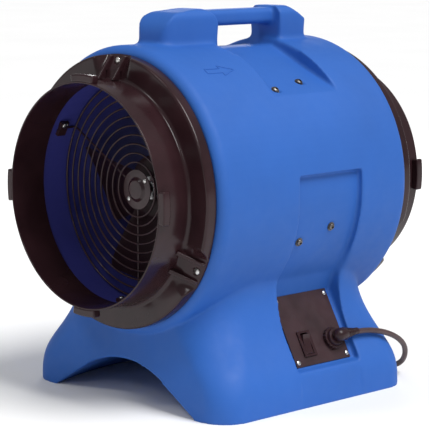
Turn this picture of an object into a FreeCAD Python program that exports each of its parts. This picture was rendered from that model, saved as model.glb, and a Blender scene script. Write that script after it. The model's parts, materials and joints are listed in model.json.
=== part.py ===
import FreeCAD, Part
import math
import os

from FreeCAD import Vector

os.makedirs("parts", exist_ok=True)

# Portable axial air mover: a one-piece moulded housing round a 12 inch duct, with a motor and an
# impeller on the duct's axis, a duct collar and a wire guard at each end, and a switch plate on one side.
# Everything is drawn about the fan axis, which runs along Y, and is lifted to its height on export.
# Front is -Y, the switch plate is on +X, and the floor is at z = 0 after the lift.

AXIS_HEIGHT = 295.0
FLOOR = -AXIS_HEIGHT

# Housing
BARREL_R = 200.0
BARREL_END = 183.0
RIM_R = 14.0
WALL = 5.0
DUCT_R = 156.0
SPIGOT_R = 162.0
SPIGOT_END = 197.0
PEDESTAL_TOP = -100.0
# (height, half width, half length, corner radius) of the pedestal's rounded rectangles, downwards
PEDESTAL_SECTIONS = [
    (PEDESTAL_TOP, 170.0, 170.0, 86.0),
    (-120.0, 159.5, 172.0, 86.0),
    (-145.0, 157.5, 173.0, 84.0),
    (-173.0, 162.0, 174.5, 76.0),
    (-200.0, 173.0, 177.0, 65.0),
    (-225.0, 188.0, 180.0, 54.0),
    (-245.0, 198.5, 183.0, 47.0),
    (-265.0, 203.5, 185.0, 43.0),
    (FLOOR, 204.5, 186.0, 42.0),
]
ARCH_HEIGHT = 60.0
ARCH_HALF_END = 141.0
ARCH_HALF_MID = 184.0
ARCH_KNEE_ACROSS = 0.53  # where the arch's crown meets its straight legs, as a share of the half width
ARCH_KNEE_UP = 0.68
UNDER_FLOOR = 12.0
SADDLE_Y = (-38.0, 86.0)
SADDLE_CREST = (20.0, 190.0)
SADDLE_EDGE = (151.0, 131.5)
SPOT_DEPTH = 2.4  # how far a bolt's spot face is sunk where the surface slopes
SEAT_DEPTH = 0.6  # and on the recess's round floor

# Side recess, in the housing's cross-section
RECESS_Y = (-38.0, 86.0)
RECESS_FLOOR_R = 191.0
RECESS_TOP = 26.0
RECESS_TURN_DEG = -40.0
RECESS_SKIRT = ((200.6, -246.5), (204.4, -292.0))

# Carrying handle
HANDLE_TOP = 246.0
BLOCK_HALF = 31.0
BLOCK_EDGE_R = 14.0
BLOCK_FRONT = -133.0
BLOCK_CORNER_R = 16.0  # the front block's upright corners
BAR_HALF = 17.0
BAR_TOP = 243.0
BAR_BOTTOM = 220.0
BAR_EDGE_R = 8.0
HANDLE_ROOT = 165.0

# Switch plate: its own frame has its origin at the plate's top front corner
PLATE_Y = (-30.0, 77.0)
PLATE_TOP = (137.0, -150.0)
PLATE_BOTTOM = (188.0, -241.0)
PLATE_LENGTH = math.dist(PLATE_TOP, PLATE_BOTTOM)
PLATE_T = 2.0
POCKET_Y = (-20.0, 67.0)
POCKET_S = (11.0, 94.0)
POCKET_DEPTH = 52.0
LEAD_PLACE = (20.0, 14.5, -38.0)  # y, s and height where the motor's lead starts in the pocket
CAPACITOR_S = 36.0
CAPACITOR_HEIGHT = -30.0
CAPACITOR_R = 17.0
STRAP_Y = (10.0, 26.0)
STRAP_SCREW = (18.0, 62.0)  # y and s of the capacitor strap's screw

# Rocker switch, on the plate
SWITCH_Y = (-9.5, 14.5)
SWITCH_S = (55.0, 92.0)
SWITCH_INSET = 2.7
SWITCH_BODY_DEPTH = 26.0
ROCKER_Y = (-4.3, 9.3)
ROCKER_S = (59.0, 88.0)
ROCKER_TILT = 11.0
PIVOT_HEIGHT = -2.0
PIN_R = 1.5
PIN_REACH = 1.5

# Duct collars
COLLAR_R = 155.0
COLLAR_BORE_R = 152.5
COLLAR_END = 255.0
FLANGE_FACE = 201.0
FLANGE_R = 188.5
FLANGE_RIM_Y = 184.5
FLANGE_T = 2.6
LUG_R = 165.0
LUG_LENGTH = 12.0
LUG_HALF_DEG = 8.0
COLLAR_SCREW_R = 180.0
COLLAR_SCREW_ANGLES = (90.0, 210.0, 330.0)
DISH_HALF = 24.0  # half width of the sloped seat that the flange has at each screw
DISH_IN = (161.0, -204.0)
DISH_OUT = (192.0, -186.4)
DISH_BACK = (163.5, -FLANGE_RIM_Y - 0.1)
DISH_SEAT_Y = -188.6
DISH_SEAT_R = 5.4
RIB_OFFSET = 15.0
RIB_T = 4.6
RIB_CREST = ((156.5, -211.0), (186.5, -190.5))

# Wire guards
GUARD_Y = 157.0
GUARD_WIRE_R = 1.4
WELD_SINK = 0.6
GUARD_FIRST_R = 38.0
GUARD_STEP = 12.6
GUARD_RINGS = 10
GUARD_DISC_R = 28.0
DISC_RAISED_R = 17.0
GUARD_FIX_ANGLES = (30.0, 150.0, 270.0)
GUARD_FIX_Y = 180.0
CLIP_SCREW_OFF = -6.5
RIVET_R = 21.6
RIVET_ANGLES = (39.0, 221.0)

# Impeller
BLADES = 5
BLADE_FIRST_DEG = 184.0
BLADE_TIP_R = 150.5
HUB_R = 46.0
HUB_FRONT = -130.0
HUB_BACK = -84.0
FAN_Y = -105.0
BLADE_T = 3.2
BLADE_CAMBER = 0.09
BLADE_ROOT_TWIST = 44.0
BLADE_TIP_TWIST = 23.0
BLADE_ROOT_CHORD = 70.0
BLADE_TIP_CHORD = 130.0

# Motor
SHELL_R = 70.0
SHELL_Y = (-40.0, 58.0)
BELL_DEPTH = 14.0
SHAFT_R = 8.0
SHAFT_Y = (-134.0, 70.0)
STATOR_R = 65.9
STATOR_BORE_R = 40.0
CORE_Y = (-22.0, 40.0)
ROTOR_R = 39.5
BEARING_OUT_R = 20.0
BEARING_IN_R = 8.0
BEARING_W = 11.0
BEARING_BALL_R = 2.4
BALLS = 8
THROUGH_BOLT_R = 2.3
THROUGH_BOLT_RADIUS = 56.6

# Motor arms: (angle, y of the front bolt, y of the rear bolt, lead of the rear bolt in degrees)
UPPER_ARM = (48.2, -21.0, 40.0, 4.6)
LOWER_ARM = (-18.2, -19.5, 38.5, 5.1)
ARM_T = 3.0
ARM_FOOT_DEG = 7.0
ARM_SHOE_DEG = 14.5
ARM_WEB_OFFSET = 14.0
ARM_BOLT_R = 3.0
WASHER_T = 1.3
WASHER_R = 6.2
BOLT_HEAD = (4.8, 3.4)  # radius and height
SHOE_SCREW_R = 2.0
SHOE_SCREW_DEG = 3.0
ARM_BOLT_HOLE_R = 3.3
BOSS_R = 9.5
SPOT_R = 8.0
SCREW_HOLE_R = 2.0
SCREW_BOSS_R = 6.5
PLATE_SCREW_HOLE_R = 1.7
STRAP_HOLE_R = 1.7
LEAD_HOLE_R = 6.5
SMALLEST_SPACE = 20000.0  # mm3; a smaller pocket would be solid plastic

# Cord
CORD_R = 4.0
BEND_SHARE = 0.45  # how much of the shorter run beside a bend its arc takes up
GLAND_Y = 53.5
GLAND_S = 73.8
GLAND_R = 16.0
ELBOW_HEIGHT = 15.5
SLEEVE_START_Y = GLAND_Y + 13.1
SLEEVE_END_Y = 92.0
CORD_START_Y = 72.0
CORD_ON_FLOOR = FLOOR + CORD_R + 0.3
LEAD_R = 3.5
COIL_CENTRE = (-60.0, 277.0)
COIL_MID_R = 59.4
COIL_HALF_WIDE = 23.5
COIL_Z = (FLOOR + 0.2, FLOOR + 35.0)
PLUG_DEG = 100.0
PLUG_W = 25.0
PLUG_T = 19.0


# ---------------------------------------------------------------- drawing helpers

def polar(radius, degrees, y=0.0):
    """A point at a radius and an angle about the fan axis; 0 degrees is +X and 90 is up."""
    a = math.radians(degrees)
    return Vector(radius * math.cos(a), y, radius * math.sin(a))


def outline(start, steps, place):
    """A closed wire in a plane. A step is a point for a line, or (middle, end) for an arc."""
    edges = []
    here = start
    for step in steps:
        if isinstance(step[0], tuple):
            middle, end = step
            edges.append(Part.Arc(place(here), place(middle), place(end)).toShape())
        else:
            end = step
            edges.append(Part.LineSegment(place(here), place(end)).toShape())
        here = end
    if math.dist(here, start) > 1e-6:
        edges.append(Part.LineSegment(place(here), place(start)).toShape())
    return Part.Wire(edges)


def turned(start, steps):
    """A solid of revolution about the fan axis from an outline of (radius, y)."""
    wire = outline(start, steps, lambda p: Vector(p[0], p[1], 0))
    return Part.Face(wire).revolve(Vector(0, 0, 0), Vector(0, 1, 0), 360)


def ring(r_in, r_out, y0, y1):
    """A plain ring about the fan axis."""
    return turned((r_in, y0), [(r_out, y0), (r_out, y1), (r_in, y1)])


def rod(radius, start, direction, length):
    return Part.makeCylinder(radius, length, start, direction)


def block(x, y, z):
    """A box from three (low, high) pairs."""
    return Part.makeBox(x[1] - x[0], y[1] - y[0], z[1] - z[0], Vector(x[0], y[0], z[0]))


def prism_y(start, steps, y0, y1):
    """An outline of (x, z) pulled along Y."""
    wire = outline(start, steps, lambda p: Vector(p[0], y0, p[1]))
    return Part.Face(wire).extrude(Vector(0, y1 - y0, 0))


def prism_x(start, steps, x0, x1):
    """An outline of (y, z) pulled along X."""
    wire = outline(start, steps, lambda p: Vector(x0, p[0], p[1]))
    return Part.Face(wire).extrude(Vector(x1 - x0, 0, 0))


def mirror_x(shape):
    return shape.mirror(Vector(0, 0, 0), Vector(1, 0, 0))


def mirror_y(shape):
    return shape.mirror(Vector(0, 0, 0), Vector(0, 1, 0))


def turn(shape, degrees):
    """A copy turned about the fan axis, positive from +X towards +Z."""
    copy = shape.copy()
    copy.rotate(Vector(0, 0, 0), Vector(0, -1, 0), degrees)
    return copy


def fuse_all(shapes):
    return shapes[0].multiFuse(shapes[1:]).removeSplitter()


def save(name, shape):
    """Write one node, lifted so that the floor is at z = 0."""
    solids = [s for s in shape.Solids]
    whole = solids[0] if len(solids) == 1 else Part.makeCompound(solids)
    whole = whole.copy()
    whole.translate(Vector(0, 0, AXIS_HEIGHT))
    assert whole.isValid(), name
    whole.exportStep(f"parts/{name}.step")
    print(f"{name:28s} solids {len(solids):3d}  volume {whole.Volume / 1000:10.2f} cm3")


# ---------------------------------------------------------------- housing

def barrel(inset):
    """The round body with rounded rims, or its inner skin when inset by the wall."""
    r = BARREL_R - inset
    end = BARREL_END - inset
    rim = RIM_R - 0.5 * inset
    bend = rim * (1 - math.sqrt(0.5))
    return turned((0, -end), [
        (r - rim, -end),
        ((r - bend, -end + bend), (r, -end + rim)),
        (r, end - rim),
        ((r - bend, end - bend), (r - rim, end)),
        (0, end),
    ])


def rounded_rectangle(z, half_x, half_y, r):
    """A horizontal rounded rectangle centred on the axis."""
    k = r * (1 - math.sqrt(0.5))
    return outline((half_x, -half_y + r), [
        (half_x, half_y - r),
        ((half_x - k, half_y - k), (half_x - r, half_y)),
        (-half_x + r, half_y),
        ((-half_x + k, half_y - k), (-half_x, half_y - r)),
        (-half_x, -half_y + r),
        ((-half_x + k, -half_y + k), (-half_x + r, -half_y)),
        (half_x - r, -half_y),
        ((half_x - k, -half_y + k), (half_x, -half_y + r)),
    ], lambda p: Vector(p[0], p[1], z))


def pedestal(inset):
    """The waisted foot block that flares to the floor."""
    wires = []
    for z, half_x, half_y, corner in PEDESTAL_SECTIONS:
        level = z + inset if z == FLOOR else z
        wires.append(rounded_rectangle(level, half_x - inset, half_y - inset, corner - inset))
    return Part.makeLoft(wires, True, False)


def arch(y, half, height):
    """The tunnel's section: a low crown on two straight legs, carried below the floor."""
    knee_x = half * ARCH_KNEE_ACROSS
    knee_z = FLOOR + height * ARCH_KNEE_UP
    return outline((-half, FLOOR), [
        (-knee_x, knee_z),
        ((0, FLOOR + height), (knee_x, knee_z)),
        (half, FLOOR),
        (half, FLOOR - UNDER_FLOOR),
        (-half, FLOOR - UNDER_FLOOR),
    ], lambda p: Vector(p[0], y, p[1]))


def tunnel(grow):
    """The space under the pedestal, wider in the middle than at its two arches."""
    reach = BARREL_END + 12.0
    half_end = ARCH_HALF_END + 2 * grow
    half_mid = ARCH_HALF_MID + 1.4 * grow
    wires = [arch(y, half, ARCH_HEIGHT + grow) for y, half in
             ((-reach, half_end), (0, half_mid), (reach, half_end))]
    return Part.makeLoft(wires, True, False)


def saddle(grow):
    """The roof-shaped cut under the handle's bar."""
    crest_x, crest_z = SADDLE_CREST
    edge_x, edge_z = SADDLE_EDGE
    drop = grow / math.cos(math.atan2(crest_z - edge_z, edge_x - crest_x))
    far = BARREL_R + 40
    slope = (crest_z - edge_z) / (edge_x - crest_x)
    out_x = edge_x + 30
    out_z = edge_z - 30 * slope
    return prism_y((-crest_x, crest_z - drop), [
        (crest_x, crest_z - drop),
        (out_x, out_z - drop),
        (out_x + 30, far),
        (-out_x - 30, far),
        (-out_x, out_z - drop),
    ], SADDLE_Y[0] - grow, SADDLE_Y[1] + grow)


def plate_axes():
    """The switch plate's down-slope and outward directions."""
    dx = PLATE_BOTTOM[0] - PLATE_TOP[0]
    dz = PLATE_BOTTOM[1] - PLATE_TOP[1]
    length = math.hypot(dx, dz)
    return Vector(dx / length, 0, dz / length), Vector(-dz / length, 0, dx / length)


def on_plate(y, s, height):
    """A point at y, at s down the plate's slope and at a height out of its face."""
    down, out = plate_axes()
    return Vector(PLATE_TOP[0], y, PLATE_TOP[1]) + down * s + out * height


def plate_box(y, s, height):
    """A box on the switch plate from (low, high) pairs along Y, down the slope and out of the face."""
    corners = [on_plate(a, b, height[0]) for a, b in
               ((y[0], s[0]), (y[1], s[0]), (y[1], s[1]), (y[0], s[1]))]
    face = Part.Face(Part.makePolygon(corners + corners[:1]))
    return face.extrude(plate_axes()[1] * (height[1] - height[0]))


def recess(grow):
    """The sunk panel on one side: a concentric floor that turns into the switch plate's seat."""
    r = RECESS_FLOOR_R - grow
    top = RECESS_TOP + grow
    a0 = math.asin(top / r)
    a1 = math.radians(RECESS_TURN_DEG)
    mid = (a0 + a1) / 2
    down, out = plate_axes()
    sink = PLATE_T + grow
    seat_top = (PLATE_TOP[0] - out.x * sink, PLATE_TOP[1] - out.z * sink)
    seat_end = (PLATE_BOTTOM[0] - out.x * sink + down.x * 1.5, PLATE_BOTTOM[1] - out.z * sink + down.z * 1.5)
    far = BARREL_R + 40
    return prism_y((far, top), [
        (r * math.cos(a0), top),
        ((r * math.cos(mid), r * math.sin(mid)), (r * math.cos(a1), r * math.sin(a1))),
        seat_top,
        seat_end,
        (RECESS_SKIRT[0][0] - grow, RECESS_SKIRT[0][1] - grow),
        (RECESS_SKIRT[1][0] - grow, RECESS_SKIRT[1][1] - grow),
        (far, RECESS_SKIRT[1][1] - grow),
    ], RECESS_Y[0] - grow, RECESS_Y[1] + grow)


def handle(inset):
    """Two blocks on top of the barrel joined by a bar; the inner skin when inset by the wall."""
    top = HANDLE_TOP - inset
    half = BLOCK_HALF - inset
    k = 1 - math.sqrt(0.5)
    front = prism_x((BLOCK_FRONT + inset, HANDLE_ROOT), [
        (BLOCK_FRONT + 1 + inset, 207 - inset),
        ((-120 + inset, 234 - inset), (-94, 243 - inset)),
        (-64, top),
        (-52 - inset, top),
        ((-35.5 - inset, 236 - inset), (-29 - inset, 219 - inset)),
        (-29 - inset, HANDLE_ROOT),
    ], -half, half)
    rear = prism_x((92 + inset, HANDLE_ROOT), [
        (92 + inset, top),
        (114 - 0.4 * inset, top),
        (144 - inset, 226.5 - 0.4 * inset),
        (145 - inset, HANDLE_ROOT),
    ], -half, half)
    r = BLOCK_EDGE_R - 0.5 * inset
    hood = prism_y((-half, HANDLE_ROOT), [
        (-half, top - r),
        ((-half + r * k, top - r * k), (-half + r, top)),
        (half - r, top),
        ((half - r * k, top - r * k), (half, top - r)),
        (half, HANDLE_ROOT),
    ], -140, 150)
    b = BAR_HALF - inset
    low = BAR_BOTTOM + inset
    high = BAR_TOP - inset
    e = BAR_EDGE_R - 0.8 * inset
    bar = prism_y((-b + e, low), [
        (b - e, low),
        ((b - e * k, low + e * k), (b, low + e)),
        (b, high - e),
        ((b - e * k, high - e * k), (b - e, high)),
        (-b + e, high),
        ((-b + e * k, high - e * k), (-b, high - e)),
        (-b, low + e),
        ((-b + e * k, low + e * k), (-b + e, low)),
    ], -60, 100)
    return fuse_all([front.common(hood).common(block_plan(inset)), rear.common(hood), bar])


def block_plan(inset):
    """The front block's outline from above, with its two front corners rounded, as a tall solid."""
    half = BLOCK_HALF - inset
    near = BLOCK_FRONT + inset
    r = BLOCK_CORNER_R - 0.5 * inset
    k = r * (1 - math.sqrt(0.5))
    wire = outline((-half, 0), [
        (-half, near + r),
        ((-half + k, near + k), (-half + r, near)),
        (half - r, near),
        ((half - k, near + k), (half, near + r)),
        (half, 0),
    ], lambda p: Vector(p[0], p[1], HANDLE_ROOT - 1))
    return Part.Face(wire).extrude(Vector(0, 0, 100))


def arm_list():
    """Each motor arm's name, its mid angle and its two bolts as (angle, y), on the right side."""
    arms = []
    for (angle, front, rear, lead), level in ((UPPER_ARM, "upper"), (LOWER_ARM, "lower")):
        arms.append((level, angle, [(angle - lead / 2, front), (angle + lead / 2, rear)]))
    return arms


def both_sides(shapes):
    """Shapes of the right side followed by their mirror images on the left."""
    return shapes + [mirror_x(s) for s in shapes]


def bolt_places():
    """(seat radius, angle, y) of each arm bolt on the right side."""
    slope = math.atan2(SADDLE_EDGE[0] - SADDLE_CREST[0], SADDLE_CREST[1] - SADDLE_EDGE[1])
    plane = SADDLE_CREST[0] * math.cos(slope) + SADDLE_CREST[1] * math.sin(slope)
    places = []
    for level, _, bolts in arm_list():
        for angle, y in bolts:
            on_slope = plane / math.cos(slope - math.radians(angle)) - SPOT_DEPTH
            places.append((on_slope if level == "upper" else RECESS_FLOOR_R - SEAT_DEPTH, angle, y))
    return places


def bolt_rods(radius, r0, extra=0.0):
    """One cylinder per arm bolt, from a radius out past its seat."""
    return both_sides([rod(radius, polar(r0, angle, y), polar(1, angle), seat + extra - r0)
                       for seat, angle, y in bolt_places()])


def screw_points(radius, angles, y):
    return [polar(radius, a, y) for a in angles]


def lead_axis():
    """Start, direction and length to the duct wall of the motor lead's hole out of the switch pocket."""
    start = on_plate(*LEAD_PLACE)
    aim = Vector(-start.x, 0, -start.z)
    reach = aim.Length - DUCT_R
    aim.normalize()
    return start, aim, reach


def guard_screw_rod(radius, angle, side, r0, length):
    """A radial cylinder on a guard clip's screw."""
    return turn(rod(radius, Vector(r0, side * GUARD_FIX_Y, CLIP_SCREW_OFF), Vector(1, 0, 0), length), angle)


def housing():
    """The one-piece moulded body: an outer skin, a duct skin and the closed space between them."""
    outer = fuse_all([barrel(0), pedestal(0)])
    outer = outer.cut(saddle(0)).fuse(handle(0)).removeSplitter()
    spigot = ring(DUCT_R, SPIGOT_R, -SPIGOT_END, SPIGOT_END)
    start, aim, reach = lead_axis()
    inward = plate_axes()[1] * -1
    cuts = [tunnel(0), recess(0), mirror_x(recess(0)), ring(0, DUCT_R, -SPIGOT_END - 1, SPIGOT_END + 1),
            plate_box(POCKET_Y, POCKET_S, (-POCKET_DEPTH, 5)), rod(LEAD_HOLE_R, start, aim, reach + 12),
            rod(STRAP_HOLE_R, on_plate(*STRAP_SCREW, -POCKET_DEPTH + 1), inward, 5)]
    cuts += bolt_rods(ARM_BOLT_HOLE_R, DUCT_R - 12, 20)
    cuts += both_sides([rod(SPOT_R, polar(seat, angle, y), polar(1, angle), 20)
                        for seat, angle, y in bolt_places()])
    for side in (-1, 1):
        cuts += [rod(SCREW_HOLE_R, p, Vector(0, -side, 0), 22)
                 for p in screw_points(COLLAR_SCREW_R, COLLAR_SCREW_ANGLES, side * (BARREL_END + 1))]
        cuts += [guard_screw_rod(SCREW_HOLE_R, a, side, DUCT_R - 2, 16) for a in GUARD_FIX_ANGLES]
    cuts += [rod(PLATE_SCREW_HOLE_R, p, inward, 14) for p in plate_screw_points(0)]
    body = fuse_all([outer, spigot]).cut(cuts)
    return body.cut(closed_space())


def closed_space():
    """The hollow between the skins, less every wall, boss and tube that crosses it."""
    start, aim, reach = lead_axis()
    inward = plate_axes()[1] * -1
    space = fuse_all([barrel(WALL), pedestal(WALL)])
    space = space.cut(saddle(WALL)).fuse(handle(WALL)).removeSplitter()
    walls = [tunnel(WALL), recess(WALL), mirror_x(recess(WALL)),
             ring(0, DUCT_R + WALL, -SPIGOT_END, SPIGOT_END),
             plate_box((POCKET_Y[0] - WALL, POCKET_Y[1] + WALL), (POCKET_S[0] - WALL, POCKET_S[1] + WALL),
                       (-POCKET_DEPTH - WALL, 5)),
             rod(LEAD_HOLE_R + WALL, start, aim, reach + 2)]
    walls += bolt_rods(BOSS_R, DUCT_R, 4)
    for side in (-1, 1):
        walls += [rod(SCREW_BOSS_R, p, Vector(0, -side, 0), 27)
                  for p in screw_points(COLLAR_SCREW_R, COLLAR_SCREW_ANGLES, side * BARREL_END)]
        walls += [guard_screw_rod(SCREW_BOSS_R, a, side, DUCT_R, 19) for a in GUARD_FIX_ANGLES]
    walls += [rod(SCREW_BOSS_R, p, inward, 22) for p in plate_screw_points(0)]
    space = space.cut(walls)
    return Part.makeCompound([s for s in space.Solids if s.Volume > SMALLEST_SPACE])


# ---------------------------------------------------------------- collars, guards and their fixings

def lug():
    """A raised tab on the collar's lip that keeps a strapped duct from sliding off."""
    y0, y1 = -COLLAR_END, -COLLAR_END + LUG_LENGTH
    whole = ring(COLLAR_R - 1, LUG_R, y0, y1)
    a = math.radians(LUG_HALF_DEG)
    reach = LUG_R + 20
    wedge = prism_y((0, 0), [(reach, -reach * math.tan(a)), (reach, reach * math.tan(a))], y0 - 1, y1 + 1)
    return whole.common(wedge)


def screw_dish():
    """The sloped seat at one screw, drawn at 0 degrees: what to add behind the flange and what to cut."""
    half = DISH_HALF + FLANGE_T
    backing = block((DISH_BACK[0], FLANGE_R), (-FLANGE_FACE + 1, DISH_BACK[1]), (-half, half))
    backing = backing.common(ring(DISH_BACK[0], FLANGE_R, -FLANGE_FACE, DISH_BACK[1]))
    front = -FLANGE_FACE - 8
    wire = outline(DISH_IN, [DISH_OUT, (DISH_OUT[0], front), (DISH_IN[0], front)],
                   lambda p: Vector(p[0], p[1], -DISH_HALF))
    cut = Part.Face(wire).extrude(Vector(0, 0, 2 * DISH_HALF))
    seat = rod(DISH_SEAT_R, Vector(COLLAR_SCREW_R, DISH_SEAT_Y, 0), Vector(0, -1, 0), 20)
    return backing, cut.fuse(seat)


def seat_rib(offset):
    """A straight rib from the collar's wall down the sloped seat, at a distance from the screw's radius."""
    (r_in, y_in), (r_out, y_out) = RIB_CREST
    r_back, y_back = DISH_BACK[0] + 2, DISH_BACK[1] - 1
    y_root = -FLANGE_FACE + 1.5
    wire = outline((COLLAR_R - 1, y_in), [
        (r_in, y_in),
        (r_out, y_out),
        (r_out, y_back),
        (r_back, y_back),
        (r_back, y_root),
        (COLLAR_R - 1, y_root),
    ], lambda p: Vector(p[0], p[1], offset - RIB_T / 2))
    return Part.Face(wire).extrude(Vector(0, 0, RIB_T))


def collar():
    """The front duct collar: a short tube with a capped flange that fits over the housing's spigot."""
    inside = FLANGE_R - FLANGE_T
    fillet = 12.0
    edge = 6.0
    bend = 1 - math.sqrt(0.5)
    body = turned((COLLAR_BORE_R, -COLLAR_END + 1), [
        (COLLAR_BORE_R, -FLANGE_FACE + FLANGE_T),
        (inside, -FLANGE_FACE + FLANGE_T + 2),
        (inside, -FLANGE_RIM_Y),
        (FLANGE_R, -FLANGE_RIM_Y),
        (FLANGE_R, -FLANGE_FACE + edge),
        ((FLANGE_R - edge * bend, -FLANGE_FACE + edge * bend), (FLANGE_R - edge, -FLANGE_FACE)),
        (COLLAR_R + fillet, -FLANGE_FACE),
        ((COLLAR_R + fillet * bend, -FLANGE_FACE - fillet * bend), (COLLAR_R, -FLANGE_FACE - fillet)),
        (COLLAR_R, -COLLAR_END + 1),
        ((COLLAR_R - 1.25, -COLLAR_END), (COLLAR_BORE_R, -COLLAR_END + 1)),
    ])
    backing, cut = screw_dish()
    ribs = [seat_rib(-RIB_OFFSET), seat_rib(RIB_OFFSET)]
    whole = fuse_all([body] + [turn(lug(), a) for a in (0, 90, 180, 270)]
                     + [turn(backing, a) for a in COLLAR_SCREW_ANGLES])
    whole = whole.cut([turn(cut, a) for a in COLLAR_SCREW_ANGLES])
    whole = fuse_all([whole] + [turn(rib, a) for a in COLLAR_SCREW_ANGLES for rib in ribs])
    return whole.cut([rod(2.4, p, Vector(0, 1, 0), 30)
                      for p in screw_points(COLLAR_SCREW_R, COLLAR_SCREW_ANGLES, -FLANGE_FACE - 6)])


def pan_screw(point, direction, shank_r, shank, head_r, head):
    """A pan-head screw whose head's underside is at the point and whose shank runs along the direction."""
    body = rod(shank_r, point - direction * 0.01, direction, shank + 0.01)
    cap = rod(head_r, point - direction * head, direction, head)
    slot = rod(head_r * 0.35, point - direction * (head + 1), direction, 1 + head * 0.5)
    return body.fuse(cap).removeSplitter().cut(slot)


def collar_screws():
    return [pan_screw(p, Vector(0, 1, 0), 1.95, 24, 4.6, 2.8)
            for p in screw_points(COLLAR_SCREW_R, COLLAR_SCREW_ANGLES, DISH_SEAT_Y - 0.05)]


def guard_rod(angle):
    """A rod behind the rings that turns forward along the duct wall and ends at its clip."""
    y = -GUARD_Y + 2 * GUARD_WIRE_R - WELD_SINK
    r_out = DUCT_R - GUARD_WIRE_R - 0.5
    bend = 5.0
    k = bend * (1 - math.sqrt(0.5))
    path = Part.Wire([
        Part.LineSegment(Vector(GUARD_DISC_R - 10, y, 0), Vector(r_out - bend, y, 0)).toShape(),
        Part.Arc(Vector(r_out - bend, y, 0), Vector(r_out - k, y - k, 0), Vector(r_out, y - bend, 0)).toShape(),
        Part.LineSegment(Vector(r_out, y - bend, 0), Vector(r_out, -GUARD_FIX_Y - 6, 0)).toShape(),
    ])
    section = Part.Wire(Part.makeCircle(GUARD_WIRE_R, Vector(GUARD_DISC_R - 10, y, 0), Vector(1, 0, 0)))
    return turn(path.makePipeShell([section], True, True), angle)


def guard():
    """The front guard's rings and centre disc, which are welded to the rods behind them."""
    rings = [Part.makeTorus(GUARD_FIRST_R + i * GUARD_STEP, GUARD_WIRE_R, Vector(0, -GUARD_Y, 0), Vector(0, 1, 0))
             for i in range(GUARD_RINGS)]
    disc = turned((0, -GUARD_Y - 3), [
        (DISC_RAISED_R - 4, -GUARD_Y - 3),
        (DISC_RAISED_R, -GUARD_Y),
        (GUARD_DISC_R, -GUARD_Y),
        (GUARD_DISC_R, -GUARD_Y + 1.6),
        (0, -GUARD_Y + 1.6),
    ])
    return group([disc] + rings)


def guard_clip(angle):
    """A saddle clip that holds the end of a spoke against the duct wall, and its screw."""
    plate = block((DUCT_R - 6.2, DUCT_R - 4.2), (-GUARD_FIX_Y - 7, -GUARD_FIX_Y + 7), (-11, 11))
    pads = block((DUCT_R - 6.2, DUCT_R - 0.9), (-GUARD_FIX_Y - 7, -GUARD_FIX_Y + 7), (-11, -2.2))
    other = block((DUCT_R - 6.2, DUCT_R - 0.9), (-GUARD_FIX_Y - 7, -GUARD_FIX_Y + 7), (2.2, 11))
    limit = ring(0, DUCT_R - 0.1, -GUARD_FIX_Y - 10, -GUARD_FIX_Y + 10)
    clip = fuse_all([plate, pads, other]).common(limit)
    hole = rod(2.1, Vector(DUCT_R - 10, -GUARD_FIX_Y, CLIP_SCREW_OFF), Vector(1, 0, 0), 20)
    return turn(clip.cut(hole), angle)


def guard_clip_screw(angle):
    screw = pan_screw(Vector(DUCT_R - 6.25, -GUARD_FIX_Y, CLIP_SCREW_OFF), Vector(1, 0, 0), 1.95, 15, 4.2, 2.4)
    return turn(screw, angle)


def guard_rivets():
    """The two domed rivets of each guard's centre disc."""
    return [dome(polar(RIVET_R, a, -GUARD_Y - 0.02), Vector(0, -1, 0), 3.2, 1.8) for a in RIVET_ANGLES]


# ---------------------------------------------------------------- impeller

def blade_section(radius):
    """A thin cambered plate seen along the radius, as a wire at that radius."""
    share = (radius - HUB_R) / (BLADE_TIP_R - HUB_R)
    chord = BLADE_ROOT_CHORD + share * (BLADE_TIP_CHORD - BLADE_ROOT_CHORD)
    twist = math.radians(BLADE_ROOT_TWIST + share * (BLADE_TIP_TWIST - BLADE_ROOT_TWIST))
    rise = BLADE_CAMBER * chord
    half = BLADE_T / 2

    def place(p):
        along = p[0] * math.cos(twist) - p[1] * math.sin(twist)
        up = p[0] * math.sin(twist) + p[1] * math.cos(twist)
        return Vector(radius, FAN_Y + up, along)

    c = chord / 2
    return outline((-c, -half), [
        ((0, rise - half), (c, -half)),
        (c, half),
        ((0, rise + half), (-c, half)),
    ], place)


def impeller():
    """Hub and blades moulded in one piece, bored for the metal bushing."""
    hub = turned((16, HUB_FRONT), [
        (HUB_R - 10, HUB_FRONT),
        ((HUB_R - 3, HUB_FRONT + 3), (HUB_R, HUB_FRONT + 10)),
        (HUB_R, HUB_BACK),
        (HUB_R - 4, HUB_BACK),
        (HUB_R - 4, HUB_FRONT + 12),
        (20, HUB_FRONT + 8),
        (20, HUB_BACK + 6),
        (16, HUB_BACK + 6),
    ])
    limit = ring(HUB_R - 2, BLADE_TIP_R, -170, -50)
    radii = (HUB_R - 3, 75.0, 112.0, BLADE_TIP_R + 4)
    one = Part.makeLoft([blade_section(r) for r in radii], True, False).common(limit)
    blades = [turn(one, BLADE_FIRST_DEG + i * 360.0 / BLADES) for i in range(BLADES)]
    return fuse_all([hub] + blades)


def hub_bushing():
    """The steel sleeve moulded into the hub, with a tapped hole for each set screw."""
    sleeve = turned((SHAFT_R, HUB_FRONT - 2), [
        (16, HUB_FRONT - 2),
        (16, HUB_BACK + 14),
        (SHAFT_R, HUB_BACK + 14),
    ])
    holes = [rod(2.5, polar(SHAFT_R - 2, a, HUB_BACK + 10), polar(1, a), 12) for a in (184, 274)]
    return sleeve.cut(holes)


def set_screws():
    return [rod(2.5, polar(SHAFT_R, a, HUB_BACK + 10), polar(1, a), 7.5) for a in (184, 274)]


# ---------------------------------------------------------------- motor

def motor_shell():
    holes = both_sides([rod(SHOE_SCREW_R + 0.1, p, d, 12) for p, d in all_shoe_screws()])
    return ring(SHELL_R - 4, SHELL_R, SHELL_Y[0], SHELL_Y[1]).cut(holes)


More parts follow.
